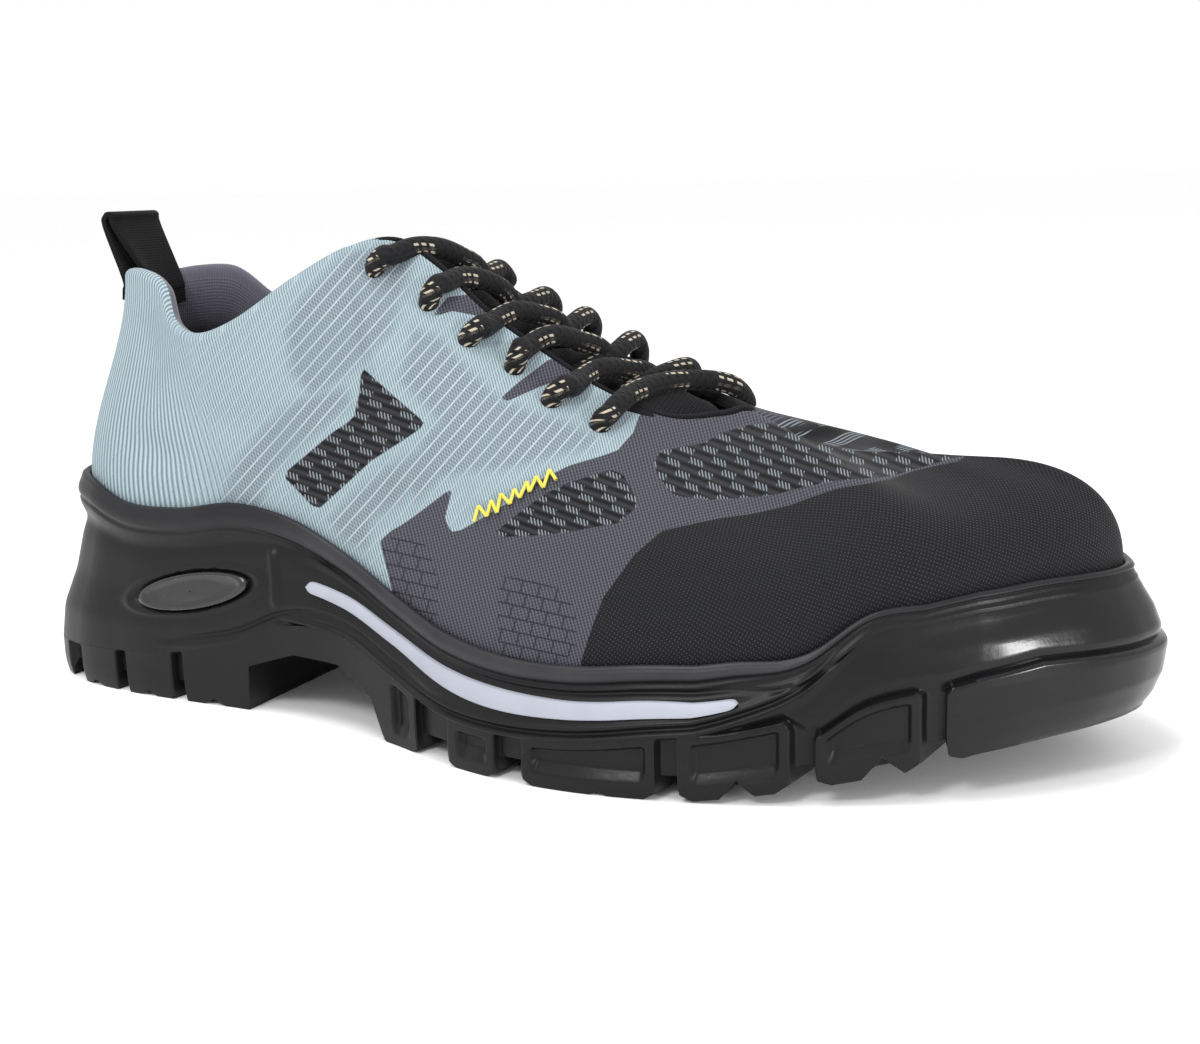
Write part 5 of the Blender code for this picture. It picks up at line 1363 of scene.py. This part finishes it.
# Zigzag
# A short decorative row of thick yellow thread, sewn in zigzag on the lower border of the
# light panel, on both sides.
ZIGZAG_START = (476, 519)
ZIGZAG_END = (555, 477)
ZIGZAG_TEETH = 7
THREAD_RADIUS = 0.00042
yellow = Finish("yellow_thread", {"Specular IOR Level": 0.4, "Sheen Weight": 0.2})
strand = yellow.noise(1500, 2)
yellow.feed("Base Color", yellow.mix(strand, paint(190, 174, 40), paint(226, 210, 84)))
yellow.feed("Roughness", 0.5 + strand * 0.2)
yellow.relief(strand, 0.0001, 0.6)
for side, name in ((LATERAL, "zigzag_lateral"), (MEDIAL, "zigzag_medial")):
    corners = []
    for k in range(2 * ZIGZAG_TEETH + 1):
        share = k / (2 * ZIGZAG_TEETH)
        x = ZIGZAG_START[0] + (ZIGZAG_END[0] - ZIGZAG_START[0]) * share
        y = ZIGZAG_START[1] + (ZIGZAG_END[1] - ZIGZAG_START[1]) * share
        y += -9 if k % 2 else 5
        row, column = seen_at(x, y)
        if side == MEDIAL:
            column = (2 * UPPER_COLUMNS - column) % (2 * UPPER_COLUMNS)
        corners.append(upper_grid[row, column] + upper_normals[row, column] * 0.0009)
    path = []
    for p0, p1 in zip(corners, corners[1:]):
        path += [p0 + (p1 - p0) * s for s in (0.04, 0.35, 0.65, 0.96)]
    grid, numbers = tube_grid(np.array(path), THREAD_RADIUS, 8)
    stitch = mesh_piece(name, [(grid, True, True, {})])
    settle(stitch, "upper_knit", yellow)

# Pull loop
# Black webbing folded in two over the back of the collar, one end sewn outside and one
# inside, for pulling the shoe on.
LOOP_WIDTH = 0.019
LOOP_THICK = 0.0014
LOOP_RISE = 0.015
LOOP_LEAN = 0.0035
LOOP_TAIL = 0.006
LOOP_GAPE = 0.002
loop_middle = float(top_y(0.0))
loop_rows = []
for y in loop_middle + LOOP_WIDTH / 2 * np.linspace(-1, 1, 9):
    side = LATERAL if y < loop_middle else MEDIAL
    near = np.linspace(0, 4, 60)
    t = np.interp(abs(y - loop_middle), np.abs(top_y(place_of(side, near)) - loop_middle), near)
    place = float(place_of(side, t))
    tail, mid = top_reach(place, LOOP_TAIL), top_reach(place, LOOP_TAIL / 2)
    stand = 2 * GAP + LOOP_THICK
    rear = [skin(place, v) + skin_normal(place, v) * stand for v in (tail, mid, 1.0)]
    front = [inner_face(place, v, stand) for v in (1.0, mid, tail)]
    back_x = skin(0.0, 1.0)[0] - LOOP_LEAN
    ply = LOOP_GAPE / 2 + LOOP_THICK
    loop_top = BACK_HEIGHT + LOOP_RISE
    fold = [(back_x - ply, 0.28), (back_x - ply * 0.75, 0.06), (back_x, 0.0),
            (back_x + ply * 0.75, 0.06), (back_x + ply, 0.28)]
    fold = [np.array((x, y, loop_top - drop * LOOP_RISE)) for x, drop in fold]
    loop_rows.append(smooth_path(rear + fold + front, 4))
loop_grid = np.array(loop_rows)
loop_run = np.concatenate([[0], np.cumsum(np.linalg.norm(
    np.diff(loop_grid[4], axis=0), axis=-1))]) * 1000
loop_map = np.stack([np.broadcast_to(loop_run, loop_grid.shape[:2]),
                     loop_grid[..., 1] * 1000, np.zeros(loop_grid.shape[:2])], axis=-1)
loop = mesh_piece("pull_loop_webbing", [(loop_grid, False, True, {"cloth": loop_map})])
thick = loop.modifiers.new("thick", "SOLIDIFY")
thick.thickness = LOOP_THICK
thick.offset = -1
bevel = loop.modifiers.new("edge", "BEVEL")
bevel.width = 0.0004
bevel.segments = 2
webbing = Finish("webbing", {"Specular IOR Level": 0.15, "Sheen Weight": 0.03})
a, b = webbing.pair("cloth")
weft = (a.wave(0.8) * 0.5 + 0.5) * (b.wave(1.2) * 0.5 + 0.5)
webbing.feed("Base Color", webbing.mix(weft, paint(4, 4, 6), paint(17, 17, 21)))
webbing.feed("Roughness", 0.74 + weft * 0.1)
webbing.relief(weft, 0.0002, 0.7)
settle(loop, "loop_webbing", webbing, "pull_loop")

# Studio
# The shoe stands on a plain white table, under a soft light overhead and two small
# panels, one ahead of the toe and one at its outer side, with a bright room round it.
table_data = bpy.data.meshes.new("table")
TABLE_REACH = 80.0
table_data.from_pydata([(x * TABLE_REACH, y * TABLE_REACH, 0)
                        for x, y in ((-1, -1), (1, -1), (1, 1), (-1, 1))], [], [(0, 1, 2, 3)])
table_top = bpy.data.objects.new("table", table_data)
bpy.context.scene.collection.objects.link(table_top)
white = Finish("white_table", {"Base Color": paint(254, 254, 254), "Roughness": 0.8})
table_data.materials.append(white.material)

world = bpy.data.worlds.new("room")
bpy.context.scene.world = world
world.use_nodes = True
world.node_tree.nodes["Background"].inputs["Color"].default_value = (1, 1, 1, 1)
world.node_tree.nodes["Background"].inputs["Strength"].default_value = 1.0


def panel_light(name, place, aim, size, power):
    data = bpy.data.lights.new(name, "AREA")
    data.shape = "RECTANGLE"
    data.size, data.size_y = size
    data.energy = power
    lamp = bpy.data.objects.new(name, data)
    bpy.context.scene.collection.objects.link(lamp)
    lamp.location = place
    lamp.rotation_euler = (Vector(aim) - Vector(place)).to_track_quat("-Z", "Y").to_euler()


panel_light("overhead", (0.0, -0.25, 1.1), (0.1, 0.0, 0.0), (0.4, 0.4), 4.5)
panel_light("toe_panel", (1.16, -0.43, 0.28), (0.25, 0.0, 0.04), (0.14, 0.14), 4)
panel_light("side_panel", (0.05, -0.75, 0.80), (0.12, 0.0, 0.03), (0.22, 0.22), 3.5)
bpy.context.scene.view_settings.view_transform = "Standard"
